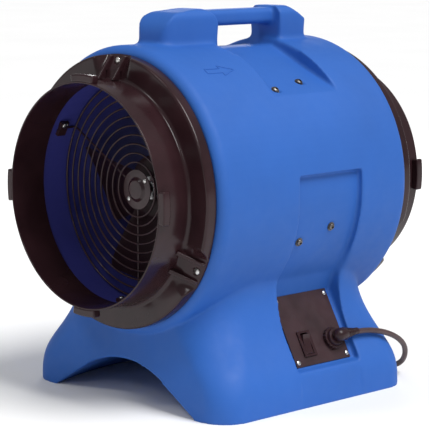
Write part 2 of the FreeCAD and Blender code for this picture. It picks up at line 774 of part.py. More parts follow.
def end_bell(side):
    """A cast cover with a bearing seat; side -1 is the fan's end."""
    y = SHELL_Y[0] if side < 0 else SHELL_Y[1]
    far = y + side * BELL_DEPTH
    seat = y + side * 1.0
    bell = turned((BEARING_OUT_R, seat - side * 4), [
        (BEARING_OUT_R + 5, seat - side * 4),
        (BEARING_OUT_R + 5, y + side * 3),
        (SHELL_R - 12, y + side * 3),
        (SHELL_R - 8, y - side * 3),
        (SHELL_R - 4.1, y - side * 3),
        (SHELL_R - 4.1, y),
        (SHELL_R, y),
        (SHELL_R, y + side * 4),
        ((SHELL_R - 2.4, y + side * (BELL_DEPTH - 2.6)), (SHELL_R - 8, far)),
        (SHAFT_R + 1.5, far),
        (SHAFT_R + 1.5, far - side * 3),
        (BEARING_OUT_R, far - side * 3),
    ])
    return bell.cut(through_bolt_rods(THROUGH_BOLT_R + 0.2, -80, 200))


def through_bolt_rods(radius, y0, length):
    return [rod(radius, polar(THROUGH_BOLT_RADIUS, a, y0), Vector(0, 1, 0), length) for a in (45, 135, 225, 315)]


def bearing_middle(side):
    y = SHELL_Y[0] if side < 0 else SHELL_Y[1]
    return y + side * (BELL_DEPTH - 3 - BEARING_W / 2)


def stator():
    core = ring(STATOR_BORE_R, STATOR_R, CORE_Y[0], CORE_Y[1])
    return core.cut(through_bolt_rods(THROUGH_BOLT_R + 0.4, -80, 200))


def windings():
    """The two rings of end turns outside the stator's core."""
    turns = []
    for y, way in ((CORE_Y[0], -1), (CORE_Y[1], 1)):
        turns.append(turned((STATOR_BORE_R + 2.5, y), [
            (STATOR_BORE_R + 2.5, y + way * 10),
            ((46.5, y + way * 14), (52.0, y + way * 10)),
            (52.0, y),
        ]))
    return turns


def rotor_core():
    """The laminated cage with its shorting rings."""
    return turned((SHAFT_R, CORE_Y[0]), [
        (20, CORE_Y[0]),
        (20, CORE_Y[0] - 5),
        (34, CORE_Y[0] - 5),
        (34, CORE_Y[0]),
        (ROTOR_R, CORE_Y[0]),
        (ROTOR_R, CORE_Y[1]),
        (34, CORE_Y[1]),
        (34, CORE_Y[1] + 5),
        (20, CORE_Y[1] + 5),
        (20, CORE_Y[1]),
        (SHAFT_R, CORE_Y[1]),
    ])


def bearing_rings(r_in, r_out):
    half = BEARING_W / 2
    return [ring(r_in, r_out, bearing_middle(s) - half, bearing_middle(s) + half) for s in (-1, 1)]


def bearing_balls():
    """The balls of both bearings, between the inner and outer rings."""
    radius = (BEARING_IN_R + 3.5 + BEARING_OUT_R - 3.5) / 2
    return [Part.makeSphere(BEARING_BALL_R, polar(radius, i * 360.0 / BALLS, bearing_middle(s)))
            for s in (-1, 1) for i in range(BALLS)]


def through_bolts():
    head_y = SHELL_Y[0] - BELL_DEPTH
    length = SHELL_Y[1] + BELL_DEPTH + 4 - head_y
    bolts = []
    for shank, head in zip(through_bolt_rods(THROUGH_BOLT_R, head_y, length),
                           through_bolt_rods(4.0, head_y - 3, 3)):
        bolts.append(shank.fuse(head).removeSplitter())
    return bolts


def through_nuts():
    return [n.cut(r) for n, r in zip(through_bolt_rods(4.0, SHELL_Y[1] + BELL_DEPTH, 3.2),
                                     through_bolt_rods(THROUGH_BOLT_R, 0, 200))]


# ---------------------------------------------------------------- motor arms and their fasteners

def arc_strip(r_in, r_out, half_deg, y0, y1, angle):
    """A slice of a ring about the fan axis."""
    a = math.radians(half_deg)
    reach = r_out + 30
    wedge = prism_y((0, 0), [(reach, -reach * math.tan(a)), (reach, reach * math.tan(a))], y0 - 1, y1 + 1)
    return turn(ring(r_in, r_out, y0, y1).common(wedge), angle)


def arm_span(bolts):
    """Front and rear edges of an arm's foot and of its shoe."""
    ys = [y for _, y in bolts]
    foot = (min(ys) - 11, max(ys) + 11)
    return foot, (max(foot[0], SHELL_Y[0] + 2), min(foot[1], SHELL_Y[1] - 2))


def motor_arm(angle, bolts):
    """A pressed steel arm: a shoe round the motor, a flat web and a foot against the duct wall."""
    foot_y, shoe_y = arm_span(bolts)
    foot = arc_strip(DUCT_R - 0.1 - ARM_T, DUCT_R - 0.1, ARM_FOOT_DEG, *foot_y, angle)
    shoe = arc_strip(SHELL_R + 0.1, SHELL_R + 0.1 + ARM_T, ARM_SHOE_DEG, *shoe_y, angle)
    web_z = (-ARM_WEB_OFFSET - ARM_T / 2, -ARM_WEB_OFFSET + ARM_T / 2)
    web = turn(block((SHELL_R, DUCT_R - 2), shoe_y, web_z), angle)
    arm = fuse_all([web, foot, shoe])
    holes = [rod(ARM_BOLT_HOLE_R, polar(DUCT_R - 20, a, y), polar(1, a), 40) for a, y in bolts]
    holes += [rod(SHOE_SCREW_R + 0.1, p - d * 10, d, 30) for p, d in shoe_screw_points(angle, shoe_y)]
    return arm.cut(holes)


def shoe_screw_points(angle, shoe_y):
    """Seats and inward directions of the two screws that hold an arm's shoe to the motor."""
    a = angle + SHOE_SCREW_DEG
    return [(polar(SHELL_R + 0.1 + ARM_T, a, y), polar(-1, a)) for y in (shoe_y[0] + 14, shoe_y[1] - 14)]


def all_shoe_screws():
    points = []
    for _, angle, bolts in arm_list():
        points += shoe_screw_points(angle, arm_span(bolts)[1])
    return points


def arm_bolts():
    """Domed bolts from outside the housing through the duct wall and the arm's foot."""
    bolts = []
    for seat, a, y in bolt_places():
        under_head = seat + WASHER_T
        end = DUCT_R - 14
        shank = rod(ARM_BOLT_R, polar(end, a, y), polar(1, a), under_head - end)
        bolts.append(shank.fuse(dome(polar(under_head, a, y), polar(1, a), *BOLT_HEAD)).removeSplitter())
    return both_sides(bolts)


def placed(shape, point, direction):
    """A shape drawn at the origin along +Z, moved to a point and turned to a direction."""
    moved = shape.copy()
    moved.Placement = FreeCAD.Placement(point, FreeCAD.Rotation(Vector(0, 0, 1), direction))
    return moved


def dome(point, direction, radius, height):
    """A low domed head standing on a point."""
    flat = radius * 0.25
    profile = outline((0, 0), [(radius, 0), ((radius * 0.78, height * 0.62), (flat, height)), (0, height)],
                      lambda p: Vector(p[0], 0, p[1]))
    return placed(Part.Face(profile).revolve(Vector(0, 0, 0), Vector(0, 0, 1), 360), point, direction)


def hexagon(point, direction, across_flats, height):
    corner = across_flats / math.sqrt(3)
    points = [Vector(corner * math.cos(math.radians(60 * i)), corner * math.sin(math.radians(60 * i)), 0)
              for i in range(7)]
    return placed(Part.Face(Part.makePolygon(points)).extrude(Vector(0, 0, height)), point, direction)


def arm_washers():
    rings = []
    for seat, a, y in bolt_places():
        point = polar(seat, a, y)
        hole = rod(ARM_BOLT_R + 0.15, point, polar(1, a), 3)
        rings.append(rod(WASHER_R, point, polar(1, a), WASHER_T).cut(hole))
    return both_sides(rings)


def arm_nuts():
    """Lock nuts inside the duct, on the arms' feet."""
    nuts = []
    for _, a, y in bolt_places():
        point = polar(DUCT_R - 0.1 - ARM_T - 0.35, a, y)
        inward = polar(-1, a)
        nuts.append(hexagon(point, inward, 10.0, 5.5).cut(rod(ARM_BOLT_R, point - inward * 2, inward, 20)))
    return both_sides(nuts)


def shoe_screws():
    return both_sides([pan_screw(p, d, SHOE_SCREW_R, ARM_T + 3.8, 4.0, 2.4) for p, d in all_shoe_screws()])


# ---------------------------------------------------------------- switch plate and electrical pieces

def plate_screw_points(height):
    across = (PLATE_Y[0] + 5, PLATE_Y[1] - 5)
    down = (6.5, PLATE_LENGTH - 6.5)
    return [on_plate(y, s, height) for y in across for s in down]


def switch_plate():
    """The flat plate that closes the switch pocket, with its openings."""
    plate = plate_box(PLATE_Y, (0, PLATE_LENGTH), (-PLATE_T, 0))
    out = plate_axes()[1]
    holes = [rod(2.1, p, out, 20) for p in plate_screw_points(-10)]
    holes.append(plate_box((SWITCH_Y[0] + 2.5, SWITCH_Y[1] - 2.5), (SWITCH_S[0] + 2.5, SWITCH_S[1] - 2.5), (-10, 10)))
    holes.append(rod(10.2, on_plate(GLAND_Y, GLAND_S, -10), out, 20))
    return plate.cut(holes)


def plate_screws():
    inward = plate_axes()[1] * -1
    return [pan_screw(p, inward, 1.6, 13, 3.6, 2.2) for p in plate_screw_points(0.02)]


def switch_body():
    """The snap-in body of the rocker switch: a bezel on the plate and a box behind it, open for the rocker."""
    bezel = plate_box(SWITCH_Y, SWITCH_S, (0.0, 2.4))
    behind = plate_box((SWITCH_Y[0] + SWITCH_INSET, SWITCH_Y[1] - SWITCH_INSET),
                       (SWITCH_S[0] + SWITCH_INSET, SWITCH_S[1] - SWITCH_INSET), (-SWITCH_BODY_DEPTH, 0.0))
    tabs = [plate_box((y - 0.4, y + 0.4), (s - 3, s + 3), (-SWITCH_BODY_DEPTH - 9, -SWITCH_BODY_DEPTH))
            for y in (-2.5, 7.5) for s in (66, 81)]
    whole = fuse_all([bezel, behind] + tabs)
    well = plate_box((ROCKER_Y[0] - 0.5, ROCKER_Y[1] + 0.5), (ROCKER_S[0] - 0.9, ROCKER_S[1] + 0.9), (-10, 5))
    return whole.cut([well, pivot_rod(PIN_R + 0.05, PIN_REACH + 0.1)])


def pivot_rod(radius, reach):
    """A cylinder on the rocker's pivot that reaches past both of its sides."""
    middle = (ROCKER_S[0] + ROCKER_S[1]) / 2
    return rod(radius, on_plate(ROCKER_Y[0] - reach, middle, PIVOT_HEIGHT), Vector(0, 1, 0),
               ROCKER_Y[1] - ROCKER_Y[0] + 2 * reach)


def rocker():
    """The rocker, tilted to its off stop, with its two pivot pins."""
    middle = (ROCKER_S[0] + ROCKER_S[1]) / 2
    half = (ROCKER_S[1] - ROCKER_S[0]) / 2 - 0.2
    wire = outline((-half, 1.0), [
        (-half + 0.4, 6.6),
        ((0, 4.4), (half - 0.4, 6.6)),
        (half, 1.0),
        (6, -5.0),
        (-6, -5.0),
    ], lambda p: on_plate(ROCKER_Y[0], middle + p[0], PIVOT_HEIGHT + p[1]))
    body = Part.Face(wire).extrude(Vector(0, ROCKER_Y[1] - ROCKER_Y[0], 0))
    whole = fuse_all([body, pivot_rod(PIN_R, PIN_REACH)])
    whole.rotate(on_plate(0, middle, PIVOT_HEIGHT), Vector(0, 1, 0), ROCKER_TILT)
    return whole


def capacitor():
    """The motor's run capacitor, lying in the pocket."""
    can = rod(CAPACITOR_R, on_plate(-8, CAPACITOR_S, CAPACITOR_HEIGHT), Vector(0, 1, 0), 62)
    tabs = [plate_box((54, 62), (s - 0.4, s + 0.4), (CAPACITOR_HEIGHT - 3, CAPACITOR_HEIGHT + 3))
            for s in (CAPACITOR_S - 6, CAPACITOR_S + 6)]
    return fuse_all([can] + tabs)


def capacitor_strap():
    """A sheet strap round the capacitor, screwed to the back of the pocket."""
    centre = on_plate(STRAP_Y[0], CAPACITOR_S, CAPACITOR_HEIGHT)
    width = STRAP_Y[1] - STRAP_Y[0]
    inside = rod(CAPACITOR_R + 0.1, centre, Vector(0, 1, 0), width)
    band = rod(CAPACITOR_R + 1.6, centre, Vector(0, 1, 0), width).cut(inside)
    low = -POCKET_DEPTH + 0.1
    foot = plate_box(STRAP_Y, (CAPACITOR_S + 17.4, STRAP_SCREW[1] + 5), (low, low + 1.5))
    riser = plate_box(STRAP_Y, (CAPACITOR_S + 17.1, CAPACITOR_S + 18.6), (low, CAPACITOR_HEIGHT))
    joined = fuse_all([band, riser.cut(inside), foot])
    return joined.cut(rod(1.9, on_plate(*STRAP_SCREW, -POCKET_DEPTH - 5), plate_axes()[1], 12))


def strap_screw():
    inward = plate_axes()[1] * -1
    return pan_screw(on_plate(*STRAP_SCREW, -POCKET_DEPTH + 1.62), inward, 1.6, 4.6, 3.4, 2.0)


def gland_body():
    """The strain relief's round base on the plate, with its threaded stem through it and its elbow."""
    out = plate_axes()[1]
    base = on_plate(GLAND_Y, GLAND_S, 0)
    elbow_end = SLEEVE_START_Y - 0.1
    elbow = rod(9.5, on_plate(GLAND_Y - 8, GLAND_S, ELBOW_HEIGHT), Vector(0, 1, 0), elbow_end - GLAND_Y + 8)
    whole = fuse_all([
        rod(GLAND_R, base + out * 0.02, out, 6),
        rod(12.5, base + out * 5, out, 6),
        rod(10.0, base - out * 11, out, 12),
        elbow,
    ])
    bore = rod(CORD_R + 0.3, on_plate(GLAND_Y, GLAND_S, ELBOW_HEIGHT), Vector(0, 1, 0), 40)
    down_bore = rod(CORD_R + 0.3, base - out * 20, out, 20 + ELBOW_HEIGHT)
    return whole.cut([bore, down_bore])


def gland_sleeve():
    """The ribbed clamping sleeve that the cord leaves through."""
    steps = []
    along = 0.0
    for i in range(4):
        r = 8.2 - i * 0.7
        steps += [(r, along), (r, along + 2.6), (r - 1.2, along + 2.6), (r - 1.2, along + 4.0)]
        along += 4.0
    length = SLEEVE_END_Y - SLEEVE_START_Y
    steps += [(5.4, along), (5.0, length), (CORD_R, length)]
    wire = outline((CORD_R, 0), steps, lambda p: Vector(p[0], p[1], 0))
    sleeve = Part.Face(wire).revolve(Vector(0, 0, 0), Vector(0, 1, 0), 360)
    sleeve.translate(on_plate(SLEEVE_START_Y, GLAND_S, ELBOW_HEIGHT))
    return sleeve


def gland_locknut():
    inward = plate_axes()[1] * -1
    point = on_plate(GLAND_Y, GLAND_S, -PLATE_T - 0.02)
    return hexagon(point, inward, 26.0, 5.0).cut(rod(10.02, point - inward * 2, inward, 12))


def pipe(points, radius, name):
    """A tube along straight runs joined by tangent arcs, each as large as its runs allow."""
    edges = []
    here = points[0]
    length = 0.0
    tight = math.inf
    for i in range(1, len(points) - 1):
        p = points[i]
        a = points[i - 1] - p
        b = points[i + 1] - p
        run = min(a.Length, b.Length)
        a.normalize()
        b.normalize()
        turn_angle = math.pi - a.getAngle(b)
        trim = BEND_SHARE * run
        r = trim / math.tan(turn_angle / 2)
        tight = min(tight, r)
        start = p + a * trim
        end = p + b * trim
        middle_dir = a + b
        middle_dir.normalize()
        centre_dist = r / math.cos(turn_angle / 2)
        middle = p + middle_dir * (centre_dist - r)
        edges.append(Part.LineSegment(here, start).toShape())
        edges.append(Part.Arc(start, middle, end).toShape())
        length += (start - here).Length + r * turn_angle
        here = end
        print(f"  {name} bend {i}: turn {math.degrees(turn_angle):5.1f} deg, radius {r:6.1f}, run {run:5.1f}")
    edges.append(Part.LineSegment(here, points[-1]).toShape())
    length += (points[-1] - here).Length
    path = Part.Wire(edges)
    first = points[1] - points[0]
    section = Part.Wire(Part.makeCircle(radius, points[0], first))
    tube = path.makePipeShell([section], True, True)
    print(f"  {name}: length {length:.0f}, tightest {tight:.1f}, volume ratio "
          f"{tube.Volume / (math.pi * radius ** 2 * length):.4f}")
    return tube


def motor_lead():
    """The sheathed lead from the pocket through its hole and across to the motor."""
    start, _, _ = lead_axis()
    angle = math.degrees(math.atan2(start.z, start.x))
    return pipe([
        start,
        polar(126, angle, start.y),
        polar(104, -66, 30),
        polar(84, -64, 34),
        polar(SHELL_R + 0.02, -64, 34),
    ], LEAD_R, "motor_lead")


def lead_grommet():
    """The rubber grommet in the lead's hole where it enters the duct."""
    start, aim, _ = lead_axis()
    angle = math.degrees(math.atan2(start.z, start.x))
    seat = polar(DUCT_R - 2.5, angle, start.y)
    out = aim * -1
    body = rod(LEAD_HOLE_R - 0.1, seat, out, 12).fuse(rod(9.0, seat, out, 2.2)).removeSplitter()
    return body.cut(rod(LEAD_R + 0.05, seat - out * 2, out, 20))


# ---------------------------------------------------------------- power cord, coil and plug

def cord_route():
    """The uncoiled stretch of the cord, from inside the sleeve to the coil."""
    return [
        on_plate(CORD_START_Y, GLAND_S, ELBOW_HEIGHT),
        Vector(187.5, 104.0, -207.0),
        Vector(188.5, 139.0, -213.0),
        Vector(187.5, 172.0, -225.0),
        Vector(181.0, 200.0, -242.0),
        Vector(169.0, 218.0, -262.0),
        Vector(152.0, 228.0, -280.0),
        Vector(127.0, 232.0, CORD_ON_FLOOR + 0.5),
        Vector(96.0, 230.0, CORD_ON_FLOOR),
        Vector(64.0, 221.0, CORD_ON_FLOOR),
        Vector(31.0, 208.0, CORD_ON_FLOOR),
        Vector(-3.0, 200.0, CORD_ON_FLOOR),
        Vector(-36.0, 198.4, CORD_ON_FLOOR),
    ]


def cord_coil():
    """The outer shape of the wound length, a squat ring lying on the floor."""
    r0, r1 = COIL_MID_R - COIL_HALF_WIDE, COIL_MID_R + COIL_HALF_WIDE
    z0, z1 = COIL_Z
    e = CORD_R
    k = e * (1 - math.sqrt(0.5))
    wire = outline((r0 + e, z0), [
        (r1 - e, z0), ((r1 - k, z0 + k), (r1, z0 + e)),
        (r1, z1 - e), ((r1 - k, z1 - k), (r1 - e, z1)),
        (r0 + e, z1), ((r0 + k, z1 - k), (r0, z1 - e)),
        (r0, z0 + e), ((r0 + k, z0 + k), (r0 + e, z0)),
    ], lambda p: Vector(p[0], 0, p[1]))
    solid = Part.Face(wire).revolve(Vector(0, 0, 0), Vector(0, 0, 1), 360)
    solid.translate(Vector(COIL_CENTRE[0], COIL_CENTRE[1], 0))
    return solid


def on_coil(shape):
    """Move a plug piece, drawn pointing along +X at the origin, to its place on top of the coil."""
    moved = shape.copy()
    a = math.radians(PLUG_DEG)
    moved.rotate(Vector(0, 0, 0), Vector(0, 0, 1), PLUG_DEG - 90)
    moved.translate(Vector(COIL_CENTRE[0] + COIL_MID_R * math.cos(a),
                           COIL_CENTRE[1] + COIL_MID_R * math.sin(a), COIL_Z[1] + PLUG_T / 2))
    return moved


def plug_body():
    """The moulded plug: a flat-sided head that narrows to its strain relief."""
    half_w, half_t = PLUG_W / 2, PLUG_T / 2
    sections = []
    for x, w, t in ((-44.0, 5.6, 5.6), (-16.0, 7.5, 7.0), (-9.0, half_w - 2, half_t),
                    (0.0, half_w, half_t), (14.0, half_w - 1.5, half_t)):
        sections.append(plug_section(x, w, t))
    return on_coil(Part.makeLoft(sections, True, False))


def plug_section(x, half_w, half_t):
    """A rounded rectangle across the plug."""
    r = min(half_w, half_t) * 0.6
    k = r * (1 - math.sqrt(0.5))
    return outline((half_w, -half_t + r), [
        (half_w, half_t - r), ((half_w - k, half_t - k), (half_w - r, half_t)),
        (-half_w + r, half_t), ((-half_w + k, half_t - k), (-half_w, half_t - r)),
        (-half_w, -half_t + r), ((-half_w + k, -half_t + k), (-half_w + r, -half_t)),
        (half_w - r, -half_t), ((half_w - k, -half_t + k), (half_w, -half_t + r)),
    ], lambda p: Vector(x, p[0], p[1]))


def plug_prongs():
    """Two flat blades and a round earth pin, standing out of the plug's face."""
    blades = [block((14.02, 31.0), (y - 0.75, y + 0.75), (-5.6, 0.9)) for y in (-6.35, 6.35)]
    earth = rod(2.4, Vector(14.02, 0, 5.2), Vector(1, 0, 0), 20.5)
    return [on_coil(p) for p in blades + [earth]]


def group(shapes):
    return Part.makeCompound(shapes)


NODES = {
    "housing": housing,
    "front_collar": collar,
    "rear_collar": lambda: mirror_y(collar()),
    "front_collar_screws": lambda: group(collar_screws()),
    "rear_collar_screws": lambda: mirror_y(group(collar_screws())),
    "front_guard": guard,
    "rear_guard": lambda: mirror_y(guard()),
    "front_guard_rods": lambda: group([guard_rod(a) for a in GUARD_FIX_ANGLES]),
    "rear_guard_rods": lambda: mirror_y(group([guard_rod(a) for a in GUARD_FIX_ANGLES])),
    "guard_rivets": lambda: group(guard_rivets() + [mirror_y(r) for r in guard_rivets()]),
    "front_guard_clips": lambda: group([guard_clip(a) for a in GUARD_FIX_ANGLES]),
    "rear_guard_clips": lambda: mirror_y(group([guard_clip(a) for a in GUARD_FIX_ANGLES])),
    "front_guard_clip_screws": lambda: group([guard_clip_screw(a) for a in GUARD_FIX_ANGLES]),
    "rear_guard_clip_screws": lambda: mirror_y(group([guard_clip_screw(a) for a in GUARD_FIX_ANGLES])),
    "impeller": impeller,
    "hub_bushing": hub_bushing,
    "hub_set_screws": lambda: group(set_screws()),
    "motor_shaft": lambda: rod(SHAFT_R, Vector(0, SHAFT_Y[0], 0), Vector(0, 1, 0), SHAFT_Y[1] - SHAFT_Y[0]),
    "rotor_core": rotor_core,
    "bearing_inner_rings": lambda: group(bearing_rings(BEARING_IN_R, BEARING_IN_R + 3.5)),
    "bearing_balls": lambda: group(bearing_balls()),
    "bearing_outer_rings": lambda: group(bearing_rings(BEARING_OUT_R - 3.5, BEARING_OUT_R)),
    "motor_shell": motor_shell,
    "front_end_bell": lambda: end_bell(-1),
    "rear_end_bell": lambda: end_bell(1),
    "stator_core": stator,
    "stator_windings": lambda: group(windings()),
    "motor_through_bolts": lambda: group(through_bolts()),
    "motor_through_nuts": lambda: group(through_nuts()),
    "motor_arm_bolts": lambda: group(arm_bolts()),
    "motor_arm_washers": lambda: group(arm_washers()),
    "motor_arm_nuts": lambda: group(arm_nuts()),
    "motor_arm_shoe_screws": lambda: group(shoe_screws()),
    "switch_plate": switch_plate,
    "switch_plate_screws": lambda: group(plate_screws()),
    "switch_body": switch_body,
    "switch_rocker": rocker,
    "capacitor": capacitor,
    "capacitor_strap": capacitor_strap,
    "capacitor_strap_screw": strap_screw,
    "gland_body": gland_body,
    "gland_sleeve": gland_sleeve,
    "gland_locknut": gland_locknut,
    "motor_lead": motor_lead,
    "lead_grommet": lead_grommet,
    "power_cord": lambda: pipe(cord_route(), CORD_R, "power_cord"),
    "cord_coil": cord_coil,
    "plug_body": plug_body,
    "plug_prongs": lambda: group(plug_prongs()),
}

for node, make in NODES.items():
    save(node, make())
for level, arm_angle, arm_bolt_places in arm_list():
    right_arm = motor_arm(arm_angle, arm_bolt_places)
    save(f"motor_arm_{level}_right", right_arm)
    save(f"motor_arm_{level}_left", mirror_x(right_arm))
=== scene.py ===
import json
import math

import bmesh
import bpy
import numpy as np
from mathutils import Matrix, Vector

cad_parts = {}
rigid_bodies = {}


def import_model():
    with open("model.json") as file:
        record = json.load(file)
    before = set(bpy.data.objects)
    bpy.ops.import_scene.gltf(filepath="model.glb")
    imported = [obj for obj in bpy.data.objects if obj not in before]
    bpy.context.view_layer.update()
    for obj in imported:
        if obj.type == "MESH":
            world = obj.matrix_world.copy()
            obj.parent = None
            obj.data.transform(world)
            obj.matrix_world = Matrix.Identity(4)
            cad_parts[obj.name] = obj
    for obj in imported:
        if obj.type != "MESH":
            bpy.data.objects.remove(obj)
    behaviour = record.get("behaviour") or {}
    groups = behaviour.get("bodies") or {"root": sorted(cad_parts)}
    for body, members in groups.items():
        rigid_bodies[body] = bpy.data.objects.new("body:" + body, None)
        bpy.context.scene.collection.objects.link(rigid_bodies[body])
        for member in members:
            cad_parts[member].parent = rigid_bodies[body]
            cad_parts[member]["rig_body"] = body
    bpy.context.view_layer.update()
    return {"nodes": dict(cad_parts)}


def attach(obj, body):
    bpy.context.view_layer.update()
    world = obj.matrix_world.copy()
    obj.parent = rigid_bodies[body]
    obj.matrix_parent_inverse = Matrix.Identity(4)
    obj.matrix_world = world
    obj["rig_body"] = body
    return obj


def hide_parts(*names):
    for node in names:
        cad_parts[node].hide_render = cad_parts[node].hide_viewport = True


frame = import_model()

# A portable air mover. Sizes are in millimetres, as on the drawing, and `mm` turns them into metres.
# The fan axis runs along Y at AXIS_Z above the floor; the front is -Y and the switch plate is on +X.

NODES = frame["nodes"]
AXIS_Z = 295.0
BARREL_R = 200.0

# Collars
COLLAR_R = 155.0
COLLAR_BORE_R = 152.5
COLLAR_END = 255.0
FLANGE_FACE = 201.0
FLANGE_R = 188.5
FLANGE_RIM_Y = 184.5
FLANGE_T = 2.6
LUG_R = 165.0
LUG_LENGTH = 12.0
LUG_HALF_DEG = 8.0
FIXING_ANGLES = (90.0, 210.0, 330.0)
DISH_HALF_DEG = 6.4
DISH_EDGE_DEG = 6.0
DISH_IN = (160.0, -203.0)
DISH_SLOPE = 0.6
DISH_BACK = (163.5, -184.6)
DISH_SEAT_Y = -188.6
DISH_SEAT_R = 5.4
COLLAR_FACE_IN = 167
RIB_OFFSET = 15.0
RIB_T = 5.6
RIB_CREST = ((156.5, -213.5), (187.0, -191.5))

# Guards
GUARD_Y = 157.0
GUARD_WIRE_R = 1.4
GUARD_FIRST_R = 38.0
GUARD_STEP = 12.6
GUARD_RINGS = 10
GUARD_DISC_R = 28.0
DISC_RAISED_R = 17.0
GUARD_SPOKES = (30.0, 150.0, 270.0)
SPOKE_BEND_R = 6.0
SPOKE_END_Y = -186.0
DUCT_R = 156.0

# Impeller
BLADES = 5
BLADE_FIRST_DEG = 184.0
BLADE_TIP_R = 150.3
HUB_R = 46.0
HUB_FRONT = -130.0
HUB_BACK = -84.0
FAN_Y = -105.0

# Switch plate
PLATE_TOP = (137.0, -150.0)
PLATE_BOTTOM = (188.0, -241.0)
GLAND_Y = 53.5
GLAND_S = 73.8
ELBOW_HEIGHT = 15.5

# Cord
CORD_R = 4.0
FLOOR = -AXIS_Z
CORD_ON_FLOOR = FLOOR + CORD_R + 0.3
COIL_CENTRE = (-60.0, 277.0)
COIL_MID_R = 59.4
COIL_LAYERS = 4
LAYER_TURNS = 4.6
COIL_PITCH = 8.3
COIL_RISE = 8.5
CLIMB_TURNS = 0.25
TURN_POINTS = 16
CUT_IN = 0.981  # how far a quadratic spline cuts inside a ring of 16 control points
COIL_TOP = FLOOR + 35.0
PLUG_DEG = 100.0
PLUG_T = 19.0
PLUG_BACK = -44.0

# Screws
COLLAR_SCREW_R = 180.0
GUARD_FIX_Y = 180.0
CLIP_SCREW_OFF = -6.5
RIVET_R = 21.6
RIVET_ANGLES = (39.0, 221.0)
SADDLE_CREST = (20.0, 190.0)
SADDLE_EDGE = (151.0, 131.5)
SPOT_DEPTH = 2.4
RECESS_SEAT_R = 190.4
WASHER_T = 1.3
WASHER_R = 6.2
# angle and y of each arm bolt on the right side, and whether it sits on the sloping saddle
ARM_BOLTS = ((45.9, -21.0, True), (50.5, 40.0, True), (-20.75, -19.5, False), (-15.65, 38.5, False))


# ---------------------------------------------------------------- helpers

def mm(x, y, z):
    """A point given in millimetres about the fan axis, as metres above the floor."""
    return Vector((x, y, z + AXIS_Z)) * 0.001


def polar(radius, degrees, y):
    a = math.radians(degrees)
    return mm(radius * math.cos(a), y, radius * math.sin(a))


def plate_axes():
    dx = PLATE_BOTTOM[0] - PLATE_TOP[0]
    dz = PLATE_BOTTOM[1] - PLATE_TOP[1]
    length = math.hypot(dx, dz)
    return Vector((dx / length, 0, dz / length)), Vector((-dz / length, 0, dx / length))


def on_plate(y, s, height):
    """A point on the switch plate, as (x, y, z) in millimetres about the axis."""
    down, out = plate_axes()
    p = Vector((PLATE_TOP[0], y, PLATE_TOP[1])) + down * s + out * height
    return p.x, p.y, p.z


def keep(obj, body, node=None):
    """Make a piece ride on its body and stand for its CAD node, which is hidden."""
    if obj.name not in bpy.context.scene.collection.objects:
        bpy.context.scene.collection.objects.link(obj)
    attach(obj, body)
    if node:
        for one in (node if isinstance(node, (list, tuple)) else [node]):
            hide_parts(one)
    return obj


def mesh_object(name, verts, faces, material, sharp_deg=35.0):
    mesh = bpy.data.meshes.new(name)
    mesh.from_pydata([tuple(v) for v in verts], [], [tuple(f) for f in faces])
    mesh.validate()
    obj = bpy.data.objects.new(name, mesh)
    bpy.context.scene.collection.objects.link(obj)
    mesh.materials.append(material)
    tidy_mesh(obj, sharp_deg)
    return obj


def tidy_mesh(obj, sharp_deg):
    """Outward normals and smooth shading, with the real edges kept sharp."""
    bm = bmesh.new()
    bm.from_mesh(obj.data)
    bmesh.ops.recalc_face_normals(bm, faces=bm.faces)
    for f in bm.faces:
        f.smooth = True
    limit = math.radians(sharp_deg)
    for e in bm.edges:
        e.smooth = not (len(e.link_faces) == 2 and e.calc_face_angle() > limit)
    bm.to_mesh(obj.data)
    bm.free()


def bevel(obj, width, segments=2, angle=30.0):
    mod = obj.modifiers.new("soft_edges", "BEVEL")
    mod.width = width * 0.001
    mod.segments = segments
    mod.limit_method = "ANGLE"
    mod.angle_limit = math.radians(angle)
    mod.harden_normals = True
    return obj


def join(name, objects):
    """Join meshes into one object, with their modifiers applied."""
    bm = bmesh.new()
    graph = bpy.context.evaluated_depsgraph_get()
    materials = []
    for o in objects:
        mesh = bpy.data.meshes.new_from_object(o.evaluated_get(graph), depsgraph=graph)
        mesh.transform(o.matrix_world)
        own = list(mesh.materials)
        materials += [m for m in own if m not in materials]
        places = [materials.index(m) for m in own]
        start = len(bm.faces)
        bm.from_mesh(mesh)
        bm.faces.ensure_lookup_table()
        for f in bm.faces[start:]:
            f.material_index = places[f.material_index]
        bpy.data.meshes.remove(mesh)
    out = bpy.data.meshes.new(name)
    bm.to_mesh(out)
    bm.free()
    for m in materials:
        out.materials.append(m)
    obj = bpy.data.objects.new(name, out)
    bpy.context.scene.collection.objects.link(obj)
    for o in objects:
        bpy.data.objects.remove(o)
    return obj


def lathe(name, profile, material, steps=96):
    """Turn a closed outline of (radius, y) about the fan axis."""
    verts, faces = [], []
    n = len(profile)
    for i in range(steps):
        a = 360.0 * i / steps
        verts += [polar(r, a, y) for r, y in profile]
    for i in range(steps):
        j = (i + 1) % steps
        for k in range(n):
            m = (k + 1) % n
            faces.append((i * n + k, i * n + m, j * n + m, j * n + k))
    return mesh_object(name, verts, faces, material)


def rounded(corners, steps=5):
    """An outline whose corners (a, b, radius) are rounded off."""
    points = []
    n = len(corners)
    for i, (a, b, r) in enumerate(corners):
        here = Vector((a, b))
        to_last = Vector(corners[i - 1][:2]) - here
        to_next = Vector(corners[(i + 1) % n][:2]) - here
        angle = to_last.angle(to_next)
        if r <= 0 or angle > math.radians(178):
            points.append((a, b))
            continue
        reach = min(r / math.tan(angle / 2), 0.48 * to_last.length, 0.48 * to_next.length)
        start = here + to_last.normalized() * reach
        end = here + to_next.normalized() * reach
        for k in range(steps + 1):
            t = k / steps
            p = start * (1 - t) ** 2 + here * 2 * t * (1 - t) + end * t ** 2
            points.append((p.x, p.y))
    return points


